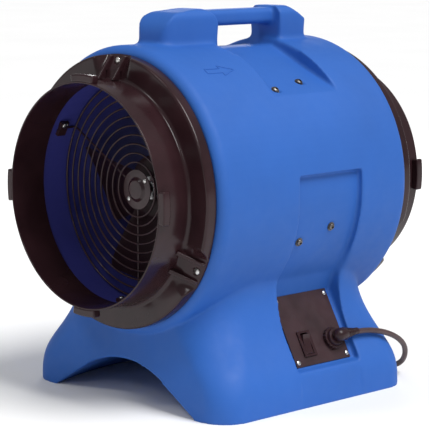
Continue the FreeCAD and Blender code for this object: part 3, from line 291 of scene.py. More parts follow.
def sweep(name, points, radius, material, closed=False, sides=12):
    """A round rod along points in metres."""
    pts = [Vector(p) for p in points]
    n = len(pts)
    verts, faces = [], []
    normal = None
    for i, p in enumerate(pts):
        if closed:
            along = pts[(i + 1) % n] - pts[i - 1]
        else:
            along = pts[min(i + 1, n - 1)] - pts[max(i - 1, 0)]
        along.normalize()
        if normal is None:
            normal = along.orthogonal().normalized()
        normal = (normal - along * normal.dot(along)).normalized()
        side = along.cross(normal)
        for k in range(sides):
            a = 2 * math.pi * k / sides
            verts.append(p + (normal * math.cos(a) + side * math.sin(a)) * radius * 0.001)
    rings = n if closed else n - 1
    for i in range(rings):
        j = (i + 1) % n
        for k in range(sides):
            m = (k + 1) % sides
            faces.append((i * sides + k, i * sides + m, j * sides + m, j * sides + k))
    if not closed:
        faces.append(tuple(range(sides)))
        faces.append(tuple(range((n - 1) * sides, n * sides)))
    return mesh_object(name, verts, faces, material, 60.0)


def polar_block(name, angles, radii, ys, material, steps=10):
    """A block bent round the fan axis."""
    (a0, a1), (r0, r1), (y0, y1) = angles, radii, ys
    verts, faces = [], []
    for i in range(steps + 1):
        a = a0 + (a1 - a0) * i / steps
        verts += [polar(r0, a, y0), polar(r1, a, y0), polar(r1, a, y1), polar(r0, a, y1)]
    for i in range(steps):
        for k in range(4):
            m = (k + 1) % 4
            faces.append((4 * i + k, 4 * i + m, 4 * i + 4 + m, 4 * i + 4 + k))
    faces += [(0, 1, 2, 3), (4 * steps, 4 * steps + 1, 4 * steps + 2, 4 * steps + 3)]
    return mesh_object(name, verts, faces, material)


def mirrored_y(obj, name):
    """A copy of a mesh piece mirrored front to back."""
    copy = bpy.data.objects.new(name, obj.data.copy())
    copy.data.transform(Matrix.Scale(-1, 4, Vector((0, 1, 0))))
    copy.data.flip_normals()
    bpy.context.scene.collection.objects.link(copy)
    return copy


def softened(node, material, width):
    """A copy of a CAD node with its edges broken, in place of the node."""
    source = NODES[node]
    mesh = source.data.copy()
    bm = bmesh.new()
    bm.from_mesh(mesh)
    bmesh.ops.remove_doubles(bm, verts=bm.verts, dist=1e-6)
    bmesh.ops.dissolve_limit(bm, angle_limit=math.radians(1.0), verts=bm.verts, edges=bm.edges)
    bm.to_mesh(mesh)
    bm.free()
    obj = bpy.data.objects.new("soft_" + node, mesh)
    bpy.context.scene.collection.objects.link(obj)
    mesh.materials.clear()
    mesh.materials.append(material)
    tidy_mesh(obj, 30.0)
    bevel(obj, width, angle=32.0)
    return keep(obj, source["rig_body"], node)


# ---------------------------------------------------------------- materials

# nearly all of a noise texture's values lie between these
NOISE_LOW = 0.3
NOISE_HIGH = 0.7


class Graph:
    """Small help for building a node material."""

    def __init__(self, name, **sockets):
        self.material = bpy.data.materials.new(name)
        self.material.use_nodes = True
        self.tree = self.material.node_tree
        self.shader = self.tree.nodes["Principled BSDF"]
        for socket, value in sockets.items():
            self.shader.inputs[socket.replace("_", " ")].default_value = value
        self.where = self.tree.nodes.new("ShaderNodeTexCoord").outputs["Object"]

    def noise(self, scale, detail=2.0):
        node = self.tree.nodes.new("ShaderNodeTexNoise")
        node.inputs["Scale"].default_value = scale
        node.inputs["Detail"].default_value = detail
        self.tree.links.new(self.where, node.inputs["Vector"])
        return node.outputs["Fac"]

    def ramp(self, source, stops):
        node = self.tree.nodes.new("ShaderNodeValToRGB")
        node.color_ramp.elements[0].position = stops[0][0]
        node.color_ramp.elements[1].position = stops[-1][0]
        for place, _ in stops[1:-1]:
            node.color_ramp.elements.new(place)
        for element, (_, colour) in zip(node.color_ramp.elements, stops):
            element.color = (*colour, 1.0)
        self.tree.links.new(source, node.inputs["Fac"])
        return node.outputs["Color"]

    def tone(self, scale, low, high):
        """A colour that drifts between two."""
        return self.ramp(self.noise(scale, 3.0), [(NOISE_LOW, low), (NOISE_HIGH, high)])

    def spread(self, source, low, high):
        """A value that drifts between two."""
        node = self.tree.nodes.new("ShaderNodeMapRange")
        limits = {"From Min": NOISE_LOW, "From Max": NOISE_HIGH, "To Min": low, "To Max": high}
        for socket, value in limits.items():
            node.inputs[socket].default_value = value
        self.tree.links.new(source, node.inputs["Value"])
        return node.outputs["Result"]

    def bump(self, heights):
        """Stack bumps given as (source, strength, distance in millimetres)."""
        last = None
        for source, strength, distance in heights:
            node = self.tree.nodes.new("ShaderNodeBump")
            node.inputs["Strength"].default_value = strength
            node.inputs["Distance"].default_value = distance * 0.001
            self.tree.links.new(source, node.inputs["Height"])
            if last is not None:
                self.tree.links.new(last, node.inputs["Normal"])
            last = node.outputs["Normal"]
        self.tree.links.new(last, self.shader.inputs["Normal"])

    def set(self, socket, source):
        self.tree.links.new(source, self.shader.inputs[socket])


def moulded_blue(name, colour):
    """Rotationally moulded polyethylene: satin, with a fine pebble and slow changes of tone."""
    g = Graph(name, IOR=1.45)
    tone = g.ramp(g.noise(6.0, 3.0), [
        (place, tuple(share * v for v in colour)) for place, share in ((0.25, 0.9), (0.5, 1.0), (0.75, 1.1))])
    g.set("Base Color", tone)
    g.set("Roughness", g.spread(g.noise(60.0, 4.0), 0.58, 0.70))
    g.bump([(g.noise(14.0, 2.0), 0.25, 1.2), (g.noise(900.0, 2.0), 0.35, 0.12)])
    return g.material


def gloss_black(name, rough=0.17):
    """Injection-moulded black plastic with a light orange peel."""
    g = Graph(name, IOR=1.36)
    g.set("Base Color", g.tone(20.0, (0.020, 0.008, 0.010), (0.032, 0.013, 0.016)))
    g.set("Roughness", g.spread(g.noise(45.0, 4.0), rough - 0.04, rough + 0.06))
    g.bump([(g.noise(30.0, 2.0), 0.12, 0.4), (g.noise(700.0, 2.0), 0.10, 0.04)])
    return g.material


def coated_black(name, rough=0.38, grain=1400.0):
    """Powder coat: near black with a fine even grain."""
    g = Graph(name, IOR=1.4)
    g.set("Base Color", g.tone(35.0, (0.026, 0.011, 0.014), (0.040, 0.017, 0.021)))
    g.set("Roughness", g.spread(g.noise(80.0, 4.0), rough - 0.05, rough + 0.08))
    g.bump([(g.noise(grain, 2.0), 0.3, 0.08)])
    return g.material


def rubber_black(name):
    """Flexible cord jacket and rubber parts."""
    g = Graph(name, IOR=1.48)
    g.set("Base Color", g.tone(50.0, (0.048, 0.024, 0.026), (0.072, 0.038, 0.040)))
    g.set("Roughness", g.spread(g.noise(120.0, 4.0), 0.36, 0.5))
    g.bump([(g.noise(500.0, 3.0), 0.2, 0.1)])
    return g.material


def metal(name, low, high, rough, grain=260.0):
    """Bare metal with small changes of colour and polish."""
    g = Graph(name, Metallic=1.0)
    g.set("Base Color", g.ramp(g.noise(40.0, 4.0), [(0.3, low), (0.7, high)]))
    g.set("Roughness", g.spread(g.noise(grain, 4.0), rough - 0.06, rough + 0.1))
    g.bump([(g.noise(grain * 3, 2.0), 0.15, 0.04)])
    return g.material


BLUE = moulded_blue("housing_blue", (0.017, 0.108, 0.43))
# the housing's own blue made darker for the inside of the duct: painted shade, since the plastic is one
# colour and only less light reaches in there
DUCT_PAINTED_SHADE_BLUE = moulded_blue("duct_painted_shade_blue", (0.035, 0.038, 0.24))
COLLAR_BLACK = gloss_black("collar_black")
GUARD_BLACK = coated_black("guard_black", 0.2)
FAN_BLACK = gloss_black("fan_black", 0.42)
PLATE_BLACK = coated_black("plate_black", 0.42)
SWITCH_BLACK = gloss_black("switch_black", 0.2)
GLAND_BLACK = gloss_black("gland_black", 0.3)
CORD_BLACK = rubber_black("cord_black")
RUBBER = rubber_black("rubber")
ZINC = metal("zinc", (0.55, 0.55, 0.55), (0.74, 0.73, 0.70), 0.26)
DARK_BOLT = metal("dark_bolt", (0.10, 0.09, 0.085), (0.22, 0.20, 0.18), 0.35)
STEEL = metal("ground_steel", (0.50, 0.50, 0.51), (0.66, 0.66, 0.67), 0.28)
CAST = metal("cast_aluminium", (0.42, 0.42, 0.43), (0.58, 0.58, 0.59), 0.45)
LAMINATION = metal("lamination", (0.30, 0.30, 0.31), (0.42, 0.42, 0.43), 0.4)
COPPER = metal("copper_wire", (0.50, 0.20, 0.08), (0.68, 0.30, 0.14), 0.35)
BRASS = metal("brass_prong", (0.62, 0.46, 0.20), (0.76, 0.58, 0.28), 0.25)
CAN = metal("capacitor_can", (0.55, 0.56, 0.57), (0.68, 0.69, 0.70), 0.32)


# ---------------------------------------------------------------- housing

VOXEL = 2.0
RELAX_SHARE = 0.5
RELAX_ROUNDS = 2
# where the handle's roots meet the barrel: radius and its reach, and the ends in x, y and z
ROOT_R, ROOT_REACH = 203, 26
ROOT_HALF_X, ROOT_HALF_Y, ROOT_LOW_Z = 75, 165, 120
ROOT_ROUNDS = 26
# where the pedestal meets the barrel: height and its reach, outside a radius
WAIST_Z, WAIST_REACH, WAIST_IN_R = -118, 34, 170
WAIST_ROUNDS = 30
FOOT_FLAT = 1.2  # height above the floor that stays as drawn
DUCT_SHADE_SKIN = 1.5  # how far outside the duct's radius a face may lie and still take the duct's painted shade


def outer_shell_only(bm):
    """Delete the closed skin of the hidden hollow, which the outer skin encloses."""
    bm.verts.ensure_lookup_table()
    left = set(bm.verts)
    islands = []
    while left:
        stack = [left.pop()]
        island = [stack[0]]
        while stack:
            for e in stack.pop().link_edges:
                for v in e.verts:
                    if v in left:
                        left.remove(v)
                        stack.append(v)
                        island.append(v)
        islands.append(island)
    islands.sort(key=lambda vs: max(v.co.z for v in vs), reverse=True)
    for island in islands[1:]:
        bmesh.ops.delete(bm, geom=island, context="VERTS")


def relax(co, edges, weight, rounds):
    """Laplacian smoothing with one weight per vertex."""
    count = np.bincount(edges.ravel(), minlength=len(co)).astype(float)[:, None]
    w = (weight * RELAX_SHARE)[:, None]
    for _ in range(rounds):
        total = np.zeros_like(co)
        np.add.at(total, edges[:, 0], co[edges[:, 1]])
        np.add.at(total, edges[:, 1], co[edges[:, 0]])
        co += (total / count - co) * w
    return co


def housing_shell():
    """The moulded body: the drawn solid's outer skin with its edges flowed together, and the duct's inside in
    a darker blue as painted shade.
    """
    mesh = NODES["housing"].data.copy()
    bm = bmesh.new()
    bm.from_mesh(mesh)
    bmesh.ops.remove_doubles(bm, verts=bm.verts, dist=1e-6)
    outer_shell_only(bm)
    bm.to_mesh(mesh)
    bm.free()
    obj = bpy.data.objects.new("housing_shell", mesh)
    bpy.context.scene.collection.objects.link(obj)
    remesh = obj.modifiers.new("even", "REMESH")
    remesh.mode = "VOXEL"
    remesh.voxel_size = VOXEL * 0.001
    graph = bpy.context.evaluated_depsgraph_get()
    even = bpy.data.meshes.new_from_object(obj.evaluated_get(graph), depsgraph=graph)
    obj.modifiers.clear()
    obj.data = even
    n = len(even.vertices)
    co = np.empty(n * 3)
    even.vertices.foreach_get("co", co)
    co = co.reshape(-1, 3)
    edges = np.empty(len(even.edges) * 2, dtype=np.int64)
    even.edges.foreach_get("vertices", edges)
    edges = edges.reshape(-1, 2)
    x, y, z = co[:, 0] * 1000, co[:, 1] * 1000, co[:, 2] * 1000 - AXIS_Z
    radius = np.hypot(x, z)
    start = co.copy()
    co = relax(co, edges, np.ones(n), RELAX_ROUNDS)
    # the handle's roots run into the barrel in broad hollows
    near = (np.abs(x) < ROOT_HALF_X) * (z > ROOT_LOW_Z) * (np.abs(y) < ROOT_HALF_Y)
    root = np.clip(1 - np.abs(radius - ROOT_R) / ROOT_REACH, 0, 1) * near
    co = relax(co, edges, root, ROOT_ROUNDS)
    # the pedestal flows into the barrel
    waist = np.clip(1 - np.abs(z - WAIST_Z) / WAIST_REACH, 0, 1) * (radius > WAIST_IN_R)
    co = relax(co, edges, waist, WAIST_ROUNDS)
    flat = z < FLOOR + FOOT_FLAT
    co[flat, 2] = start[flat, 2]
    even.vertices.foreach_set("co", co.ravel())
    even.materials.clear()
    even.materials.append(BLUE)
    even.materials.append(DUCT_PAINTED_SHADE_BLUE)
    # faces inside the duct take the darker blue, painted shade for the dim inside of the duct
    for p in even.polygons:
        p.use_smooth = True
        centre = p.center * 1000
        if math.hypot(centre.x, centre.z - AXIS_Z) < DUCT_R + DUCT_SHADE_SKIN:
            p.material_index = 1
    even.update()
    return keep(obj, "frame", "housing")


def airflow_arrow():
    """A plain arrow outline moulded as a low ridge on the barrel, which points the way the air goes."""
    tail, neck, tip = -128.0, -101.0, -77.0
    middle, thin, wide = 57.0, 1.3, 3.0
    corners = [(tail, -thin), (neck, -thin), (neck, -wide), (tip, 0.0),
               (neck, wide), (neck, thin), (tail, thin)]
    points = []
    for (y0, a0), (y1, a1) in zip(corners, corners[1:] + corners[:1]):
        steps = max(2, round(math.hypot(y1 - y0, (a1 - a0) * 3.5) / 2.5))
        points += [polar(BARREL_R + 0.1, middle + a0 + (a1 - a0) * k / steps, y0 + (y1 - y0) * k / steps)
                   for k in range(steps)]
    ridge = sweep("airflow_arrow", points, 0.9, BLUE, True, 10)
    keep(ridge, "frame", "housing")


# ---------------------------------------------------------------- collars

def collar_profile():
    inside = FLANGE_R - FLANGE_T
    return rounded([
        (COLLAR_BORE_R, -COLLAR_END, 1.2),
        (COLLAR_BORE_R, -FLANGE_FACE + FLANGE_T, 0.6),
        (inside, -FLANGE_FACE + 4.6, 2.0),
        (inside, -FLANGE_RIM_Y, 0.8),
        (FLANGE_R, -FLANGE_RIM_Y, 0.8),
        (FLANGE_R, -FLANGE_FACE, 6.0),
        *[(r, -FLANGE_FACE, 0.0) for r in range(181, COLLAR_FACE_IN, -1)],
        (COLLAR_R, -FLANGE_FACE, 12.0),
        (COLLAR_R, -COLLAR_END, 1.2),
    ], steps=8)


def from_screw(degrees):
    """The angle between a direction and the nearest collar screw."""
    return min(abs((degrees - centre + 180.0) % 360.0 - 180.0) for centre in FIXING_ANGLES)


def dish_share(away):
    """How far an angle from the screw lies in its sloped seat: 1 within it and 0 outside."""
    t = min(1.0, max(0.0, (DISH_HALF_DEG + DISH_EDGE_DEG - away) / DISH_EDGE_DEG))
    return t * t * (3 - 2 * t)


def collar_body():
    """The collar turned about the axis, its flange pressed back to a slope at each screw."""
    fine = [centre + 0.4 * k for centre in FIXING_ANGLES for k in range(-32, 33)]
    coarse = [1.5 * k for k in range(240) if from_screw(1.5 * k) > 13.2]
    angles = sorted(a % 360.0 for a in fine + coarse)
    profile = collar_profile()
    n = len(profile)
    verts, faces = [], []
    for degrees in angles:
        away = from_screw(degrees)
        share = dish_share(away)
        for r, y in profile:
            slope = DISH_IN[1] + (r - DISH_IN[0]) * DISH_SLOPE
            outside = y < -FLANGE_FACE + 2.0 or r > FLANGE_R - 2.0
            if outside and r > DISH_IN[0] and y < slope:
                y += (slope - y) * share
                if math.hypot(r - COLLAR_SCREW_R, r * math.radians(away)) < DISH_SEAT_R:
                    y = DISH_SEAT_Y
            elif r > DISH_IN[0] and y < slope + FLANGE_T:
                y += (slope + FLANGE_T - y) * share
            verts.append(polar(r, degrees, y))
    for i in range(len(angles)):
        j = (i + 1) % len(angles)
        faces += [(i * n + k, i * n + (k + 1) % n, j * n + (k + 1) % n, j * n + k) for k in range(n)]
    return mesh_object("collar_body", verts, faces, COLLAR_BLACK, 50.0)


def radial_prism(outline, low, high, degrees):
    """Vertices and faces of a (radius, y) outline, thick from low to high sideways, at an angle."""
    n = len(outline)
    verts = [mm(*around(r, degrees, y, side)) for side in (low, high) for r, y in outline]
    faces = [tuple(range(n)), tuple(range(n, 2 * n))]
    faces += [(k, (k + 1) % n, n + (k + 1) % n, n + k) for k in range(n)]
    return verts, faces


def seat_rib(name, degrees, offset):
    """A rounded rib from the collar's wall down the sloped seat, beside the screw."""
    (r_in, y_in), (r_out, y_out) = RIB_CREST
    r_back, y_back = DISH_BACK[0] + 2, DISH_BACK[1] - 1
    r_wall, y_wall = COLLAR_R - 1, -FLANGE_FACE + 1.5
    outline = rounded([
        (r_wall, y_in, 0), (r_in, y_in, 2.0), (r_out, y_out, 3.0), (r_out, y_back, 0),
        (r_back, y_back, 0), (r_back, y_wall, 0), (r_wall, y_wall, 0)], steps=4)
    verts, faces = radial_prism(outline, offset - RIB_T / 2, offset + RIB_T / 2, degrees)
    return bevel(mesh_object(name, verts, faces, COLLAR_BLACK), 2.6, 5)


def lug(name, degrees):
    block = polar_block(name, (degrees - LUG_HALF_DEG, degrees + LUG_HALF_DEG), (COLLAR_R - 1, LUG_R),
                        (-COLLAR_END, -COLLAR_END + LUG_LENGTH), COLLAR_BLACK)
    return bevel(block, 2.4, 4)


def collars():
    pieces = [collar_body()]
    pieces += [lug(f"lug_{i}", 90.0 * i) for i in range(4)]
    for i, centre in enumerate(FIXING_ANGLES):
        pieces.append(seat_rib(f"rib_{i}_a", centre, -RIB_OFFSET))
        pieces.append(seat_rib(f"rib_{i}_b", centre, RIB_OFFSET))
    front = join("front_collar_moulding", pieces)
    rear = mirrored_y(front, "rear_collar_moulding")
    keep(front, "frame", "front_collar")
    keep(rear, "frame", "rear_collar")


# ---------------------------------------------------------------- guards

def circle_points(radius, y):
    return [polar(radius, degrees, y) for degrees in range(0, 360, 3)]


def spoke_points(degrees):
    """In along the back of the rings, then forward along the duct wall."""
    y = -GUARD_Y + 2 * GUARD_WIRE_R - 0.4
    r_out = DUCT_R - GUARD_WIRE_R - 0.5
    bend = SPOKE_BEND_R
    line = [(GUARD_DISC_R - 10, y), (90, y), (r_out - bend, y)]
    line += [(r_out - bend + bend * math.sin(t), y - bend + bend * math.cos(t))
             for t in (math.radians(15 * k) for k in range(1, 6))]
    line += [(r_out, y - bend), (r_out, SPOKE_END_Y)]
    return [polar(r, degrees, v) for r, v in line]


def guards():
    pieces = [sweep(f"ring_{i}", circle_points(GUARD_FIRST_R + i * GUARD_STEP, -GUARD_Y), GUARD_WIRE_R,
                    GUARD_BLACK, True, 10) for i in range(GUARD_RINGS)]
    rods = [sweep(f"rod_{int(a)}", spoke_points(a), GUARD_WIRE_R, GUARD_BLACK) for a in GUARD_SPOKES]
    disc = lathe("disc", rounded([
        (0.05, -GUARD_Y - 3.0, 0), (DISC_RAISED_R - 4, -GUARD_Y - 3.0, 2.5), (DISC_RAISED_R, -GUARD_Y, 2.5),
        (GUARD_DISC_R, -GUARD_Y, 0.7), (GUARD_DISC_R, -GUARD_Y + 1.6, 0.5), (0.05, -GUARD_Y + 1.6, 0)]),
        GUARD_BLACK)
    for kind, parts in (("guard", pieces + [disc]), ("guard_rods", rods)):
        front = join(f"front_{kind}_wire", parts)
        rear = mirrored_y(front, f"rear_{kind}_wire")
        keep(front, "frame", f"front_{kind}")
        keep(rear, "frame", f"rear_{kind}")


# ---------------------------------------------------------------- impeller

BLADE_ROWS = 22
BLADE_COLUMNS = 26
BLADE_THICK = 3.2
# at the root and at the tip: chord in millimetres and angle to the fan's plane in degrees
BLADE_CHORD = (70, 130)
BLADE_TWIST = (44, 23)
BLADE_CAMBER = 0.09
TIP_ROUND_FROM = 0.9  # share of the blade's length where its corners begin to round off


def blade_point(share, across, side):
    """A point of a blade; share runs from root to tip, across from edge to edge, side is front or back."""
    radius = HUB_R - 3 + share * (BLADE_TIP_R - HUB_R + 3)
    chord = BLADE_CHORD[0] + share * (BLADE_CHORD[1] - BLADE_CHORD[0])
    twist = math.radians(BLADE_TWIST[0] - share * (BLADE_TWIST[0] - BLADE_TWIST[1]))
    t = across * 2 - 1
    rise = BLADE_CAMBER * chord * (1 - t * t)
    thick = BLADE_THICK * (1.15 - 0.3 * share) * math.sqrt(max(0.0, 1 - abs(t) ** 6))
    corner = max(0.0, (share - TIP_ROUND_FROM) / 0.1)
    along = t * (chord / 2 - 5 * corner ** 2)
    up = rise + side * thick / 2
    a = (along * math.cos(twist) - up * math.sin(twist)) / radius
    y = FAN_Y + along * math.sin(twist) + up * math.cos(twist)
    return radius, a, y


def blade(name, degrees):
    verts, faces = [], []
    for side in (-1, 1):
        for i in range(BLADE_ROWS + 1):
            for k in range(BLADE_COLUMNS + 1):
                r, a, y = blade_point(i / BLADE_ROWS, k / BLADE_COLUMNS, side)
                verts.append(polar(r, degrees + math.degrees(a), y))
    wide = BLADE_COLUMNS + 1
    back = (BLADE_ROWS + 1) * wide
    for base in (0, back):
        for i in range(BLADE_ROWS):
            for k in range(BLADE_COLUMNS):
                p = base + i * wide + k
                faces.append((p, p + 1, p + wide + 1, p + wide))
    for k in range(BLADE_COLUMNS):
        for row in (0, BLADE_ROWS):
            p = row * wide + k
            faces.append((p, p + 1, back + p + 1, back + p))
    obj = mesh_object(name, verts, faces, FAN_BLACK, 40.0)
    bm = bmesh.new()
    bm.from_mesh(obj.data)
    bmesh.ops.remove_doubles(bm, verts=bm.verts, dist=1e-5)
    bm.to_mesh(obj.data)
    bm.free()
    tidy_mesh(obj, 40.0)
    return obj


def impeller():
    hub = lathe("hub", rounded([
        (16, HUB_FRONT, 0.5), (HUB_R, HUB_FRONT, 9.0), (HUB_R, HUB_BACK, 1.0), (HUB_R - 4, HUB_BACK, 1.0),
        (HUB_R - 4, HUB_FRONT + 12, 3.0), (20, HUB_FRONT + 8, 2.0), (20, HUB_BACK + 6, 1.0),
        (16, HUB_BACK + 6, 1.0)]), FAN_BLACK)
    parts = [hub] + [blade(f"blade_{i}", BLADE_FIRST_DEG + 360.0 / BLADES * i) for i in range(BLADES)]
    keep(join("impeller_moulding", parts), "fan_rotor", "impeller")


# ---------------------------------------------------------------- cord, coil and plug

def cord_route():
    """The points of the stretch that isn't coiled, from inside the sleeve to the coil."""
    return [
        on_plate(72.0, GLAND_S, ELBOW_HEIGHT),
        (187.5, 104.0, -207.0),
        (188.5, 139.0, -213.0),
        (187.5, 172.0, -225.0),
        (181.0, 200.0, -242.0),
        (169.0, 218.0, -262.0),
        (152.0, 228.0, -280.0),
        (127.0, 232.0, CORD_ON_FLOOR + 0.5),
        (96.0, 230.0, CORD_ON_FLOOR),
        (64.0, 221.0, CORD_ON_FLOOR),
        (31.0, 208.0, CORD_ON_FLOOR),
        (-3.0, 200.0, CORD_ON_FLOOR),
        (-36.0, 198.4, CORD_ON_FLOOR),
    ]


def coil_track():
    """Turn, radius and height at each step of the wound length, layer on layer."""
    half = COIL_PITCH * LAYER_TURNS / 2
    turn, radius, height = 0.0, COIL_MID_R + half, CORD_ON_FLOOR
    track = []
    for layer in range(COIL_LAYERS):
        way = -1 if layer % 2 == 0 else 1
        spans = [(LAYER_TURNS, way * COIL_PITCH * LAYER_TURNS, 0.0)]
        if layer < COIL_LAYERS - 1:
            spans.append((CLIMB_TURNS, 0.0, COIL_RISE))
        for turns, wider, higher in spans:
            steps = math.ceil(turns * TURN_POINTS)
            track += [(turn + turns * k / steps, radius + wider * k / steps, height + higher * k / steps)
                      for k in range(1, steps + 1)]
            turn += turns
            radius += wider
            height += higher
    return track


def turn_point(turn, radius, height):
    a = math.radians(-90.0 - 360.0 * turn)
    r = radius / CUT_IN
    return COIL_CENTRE[0] + r * math.cos(a), COIL_CENTRE[1] + r * math.sin(a), height


def on_coil(x, y, z):
    """A point of the plug, drawn along +X at the origin, in its place on the coil."""
    a, t = math.radians(PLUG_DEG), math.radians(PLUG_DEG - 90)
    return (COIL_CENTRE[0] + COIL_MID_R * math.cos(a) + x * math.cos(t) - y * math.sin(t),
            COIL_CENTRE[1] + COIL_MID_R * math.sin(a) + x * math.sin(t) + y * math.cos(t),
            COIL_TOP + PLUG_T / 2 + z)


def tail(points, steps=7):
    """The last stretch, which rises from the coil's outer turn and bends into the plug."""
    start, before = Vector(points[-1]), Vector(points[-2])
    end = Vector(on_coil(PLUG_BACK + 6, 0, 0))
    reach = (end - start).length * 1.25
    leave = (start - before).normalized() * reach
    arrive = (end - Vector(on_coil(PLUG_BACK - 10, 0, 0))).normalized() * reach
    out = []
    for k in range(1, steps + 1):
        t = k / steps
        p = (start * (2 * t ** 3 - 3 * t ** 2 + 1) + leave * (t ** 3 - 2 * t ** 2 + t)
             + end * (3 * t ** 2 - 2 * t ** 3) + arrive * (t ** 3 - t ** 2))
        out.append(tuple(p))
    return out


def cord():
    points = cord_route() + [turn_point(*t) for t in coil_track()]
    points += tail(points)
    curve = bpy.data.curves.new("mains_cord", "CURVE")
    curve.dimensions = "3D"
    spline = curve.splines.new("NURBS")
    spline.points.add(len(points) - 1)
    for p, where in zip(spline.points, points):
        p.co = (*mm(*where), 1.0)
    spline.order_u = 3
    spline.use_endpoint_u = True
    spline.resolution_u = 5
    curve.bevel_depth = CORD_R * 0.001
    curve.bevel_resolution = 4
    curve.use_fill_caps = True
    curve.materials.append(CORD_BLACK)
    obj = bpy.data.objects.new("mains_cord", curve)
    bpy.context.scene.collection.objects.link(obj)
    keep(obj, "frame", ["power_cord", "cord_coil"])


# ---------------------------------------------------------------- screws, bolts, rivets and washers

def spun(profile, steps=32):
    """A small mesh in millimetres, turned about its own Z from (radius, z) with both ends on the axis."""
    bm = bmesh.new()
    rings = []
    for r, z in profile:
        if r == 0:
            rings.append([bm.verts.new((0, 0, z))])
        else:
            angles = [2 * math.pi * k / steps for k in range(steps)]
            rings.append([bm.verts.new((r * math.cos(a), r * math.sin(a), z)) for a in angles])
    for low, high in zip(rings, rings[1:]):
        for k in range(steps):
            m = (k + 1) % steps
            corners = [low[k % len(low)], low[m % len(low)], high[m % len(high)], high[k % len(high)]]
            distinct = [v for i, v in enumerate(corners) if v not in corners[:i]]
            if len(distinct) > 2:
                bm.faces.new(distinct)
    bmesh.ops.recalc_face_normals(bm, faces=bm.faces)
    mesh = bpy.data.meshes.new("spun")
    bm.to_mesh(mesh)
    bm.free()
    return mesh


def combine(mesh, tool, operation):
    """The mesh with a tool mesh joined to it or taken out of it."""
    one, two = (bpy.data.objects.new(n, m) for n, m in (("first_mesh", mesh), ("second_mesh", tool)))
    for o in (one, two):
        bpy.context.scene.collection.objects.link(o)
    mod = one.modifiers.new("combine", "BOOLEAN")
    mod.operation, mod.object, mod.solver = operation, two, "EXACT"
    graph = bpy.context.evaluated_depsgraph_get()
    out = bpy.data.meshes.new_from_object(one.evaluated_get(graph), depsgraph=graph)
    for o in (one, two):
        bpy.data.objects.remove(o)
    return out


def cross_tool(reach, width, low, high):
    """The tapered cross of a driver's recess."""
    bm = bmesh.new()
    for turned in (0, 90):
        made = bmesh.ops.create_cube(bm, size=1.0)["verts"]
        for v in made:
            narrow = 0.45 if v.co.z < 0 else 1.0
            x, y = v.co.x * 2 * reach * narrow, v.co.y * width * narrow
            z = low if v.co.z < 0 else high
            v.co = (-y, x, z) if turned else (x, y, z)
    mesh = bpy.data.meshes.new("cross")
    bm.to_mesh(mesh)
    bm.free()
    return mesh


def hex_tool(radius, low, high):
    return spun([(0, low), (radius, low), (radius, high), (0, high)], 6)


def headed(head_r, head_h, shank_r, shank, tool):
    """A domed head on z = 0 with a rounded rim, its recess and its shank."""
    dome = [(head_r * math.cos(t), head_h * (0.35 + 0.65 * math.sin(t)))
            for t in (math.radians(10 * k) for k in range(0, 9))]
    profile = [(0, -shank), (shank_r, -shank), (shank_r, 0), (head_r * 0.97, 0), (head_r, head_h * 0.12)]
    mesh = spun(profile + dome + [(0, head_h)])
    return combine(mesh, tool, "DIFFERENCE") if tool else mesh


def stamp(name, mesh, places, material, body, node):
    """Copies of a small mesh at (point in millimetres, outward direction, spin in degrees)."""
    bm = bmesh.new()
    for point, direction, spin in places:
        start = len(bm.verts)
        bm.from_mesh(mesh)
        bm.verts.ensure_lookup_table()
        turned = Vector(direction).to_track_quat("Z", "Y").to_matrix().to_4x4()
        where = (Matrix.Translation(mm(*point)) @ turned @ Matrix.Rotation(math.radians(spin), 4, "Z")
                 @ Matrix.Scale(0.001, 4))
        bmesh.ops.transform(bm, matrix=where, verts=bm.verts[start:])
    out = bpy.data.meshes.new(name)
    bm.to_mesh(out)
    bm.free()
    out.materials.append(material)
    obj = bpy.data.objects.new(name, out)
    bpy.context.scene.collection.objects.link(obj)
    tidy_mesh(obj, 38.0)
    return keep(obj, body, node)


def spin_of(i):
    """A different driver angle for each screw."""
    return (37.0 * i + 11.0) % 90.0


def around(radius, degrees, y, offset=0.0):
    """A point at a radius and angle about the fan axis, moved sideways by an offset, in millimetres."""
    a = math.radians(degrees)
    return (radius * math.cos(a) - offset * math.sin(a), y, radius * math.sin(a) + offset * math.cos(a))


def both_ends(places):
    """Front places, and the same ones at the rear."""
    return places, [((p[0], -p[1], p[2]), (d[0], -d[1], d[2]), s + 20) for p, d, s in places]


def arm_bolt_places(lift):
    """Where the arm bolts' heads sit on the housing, on both sides."""
    slope = math.atan2(SADDLE_EDGE[0] - SADDLE_CREST[0], SADDLE_CREST[1] - SADDLE_EDGE[1])
    plane = SADDLE_CREST[0] * math.cos(slope) + SADDLE_CREST[1] * math.sin(slope)
    places = []
    for angle, y, on_saddle in ARM_BOLTS:
        seat = plane / math.cos(slope - math.radians(angle)) - SPOT_DEPTH if on_saddle else RECESS_SEAT_R
        x, _, z = around(1.0, angle, y)
        for side in (1, -1):
            point = (side * (seat + lift) * x, y, (seat + lift) * z)
            places.append((point, (side * x, 0, z), spin_of(len(places))))
    return places


# head radius and height, shank radius and length; then the recess's reach, width, floor and top
COLLAR_SCREW = (4.6, 2.8, 1.95, 24.0), (2.6, 1.1, 0.8, 4.0)
CLIP_SCREW = (4.2, 2.4, 1.95, 15.0), (2.3, 1.0, 0.7, 4.0)
PLATE_SCREW = (3.6, 2.2, 1.6, 13.0), (2.0, 0.9, 0.6, 4.0)
RIVET = (3.2, 1.8, 1.5, 0.5)
ARM_BOLT = (4.8, 3.4, 3.0, 42.0)
ARM_BOLT_HEX = (2.1, 1.5, 5.0)


def pan_screw(sizes, recess):
    return headed(*sizes, cross_tool(*recess))


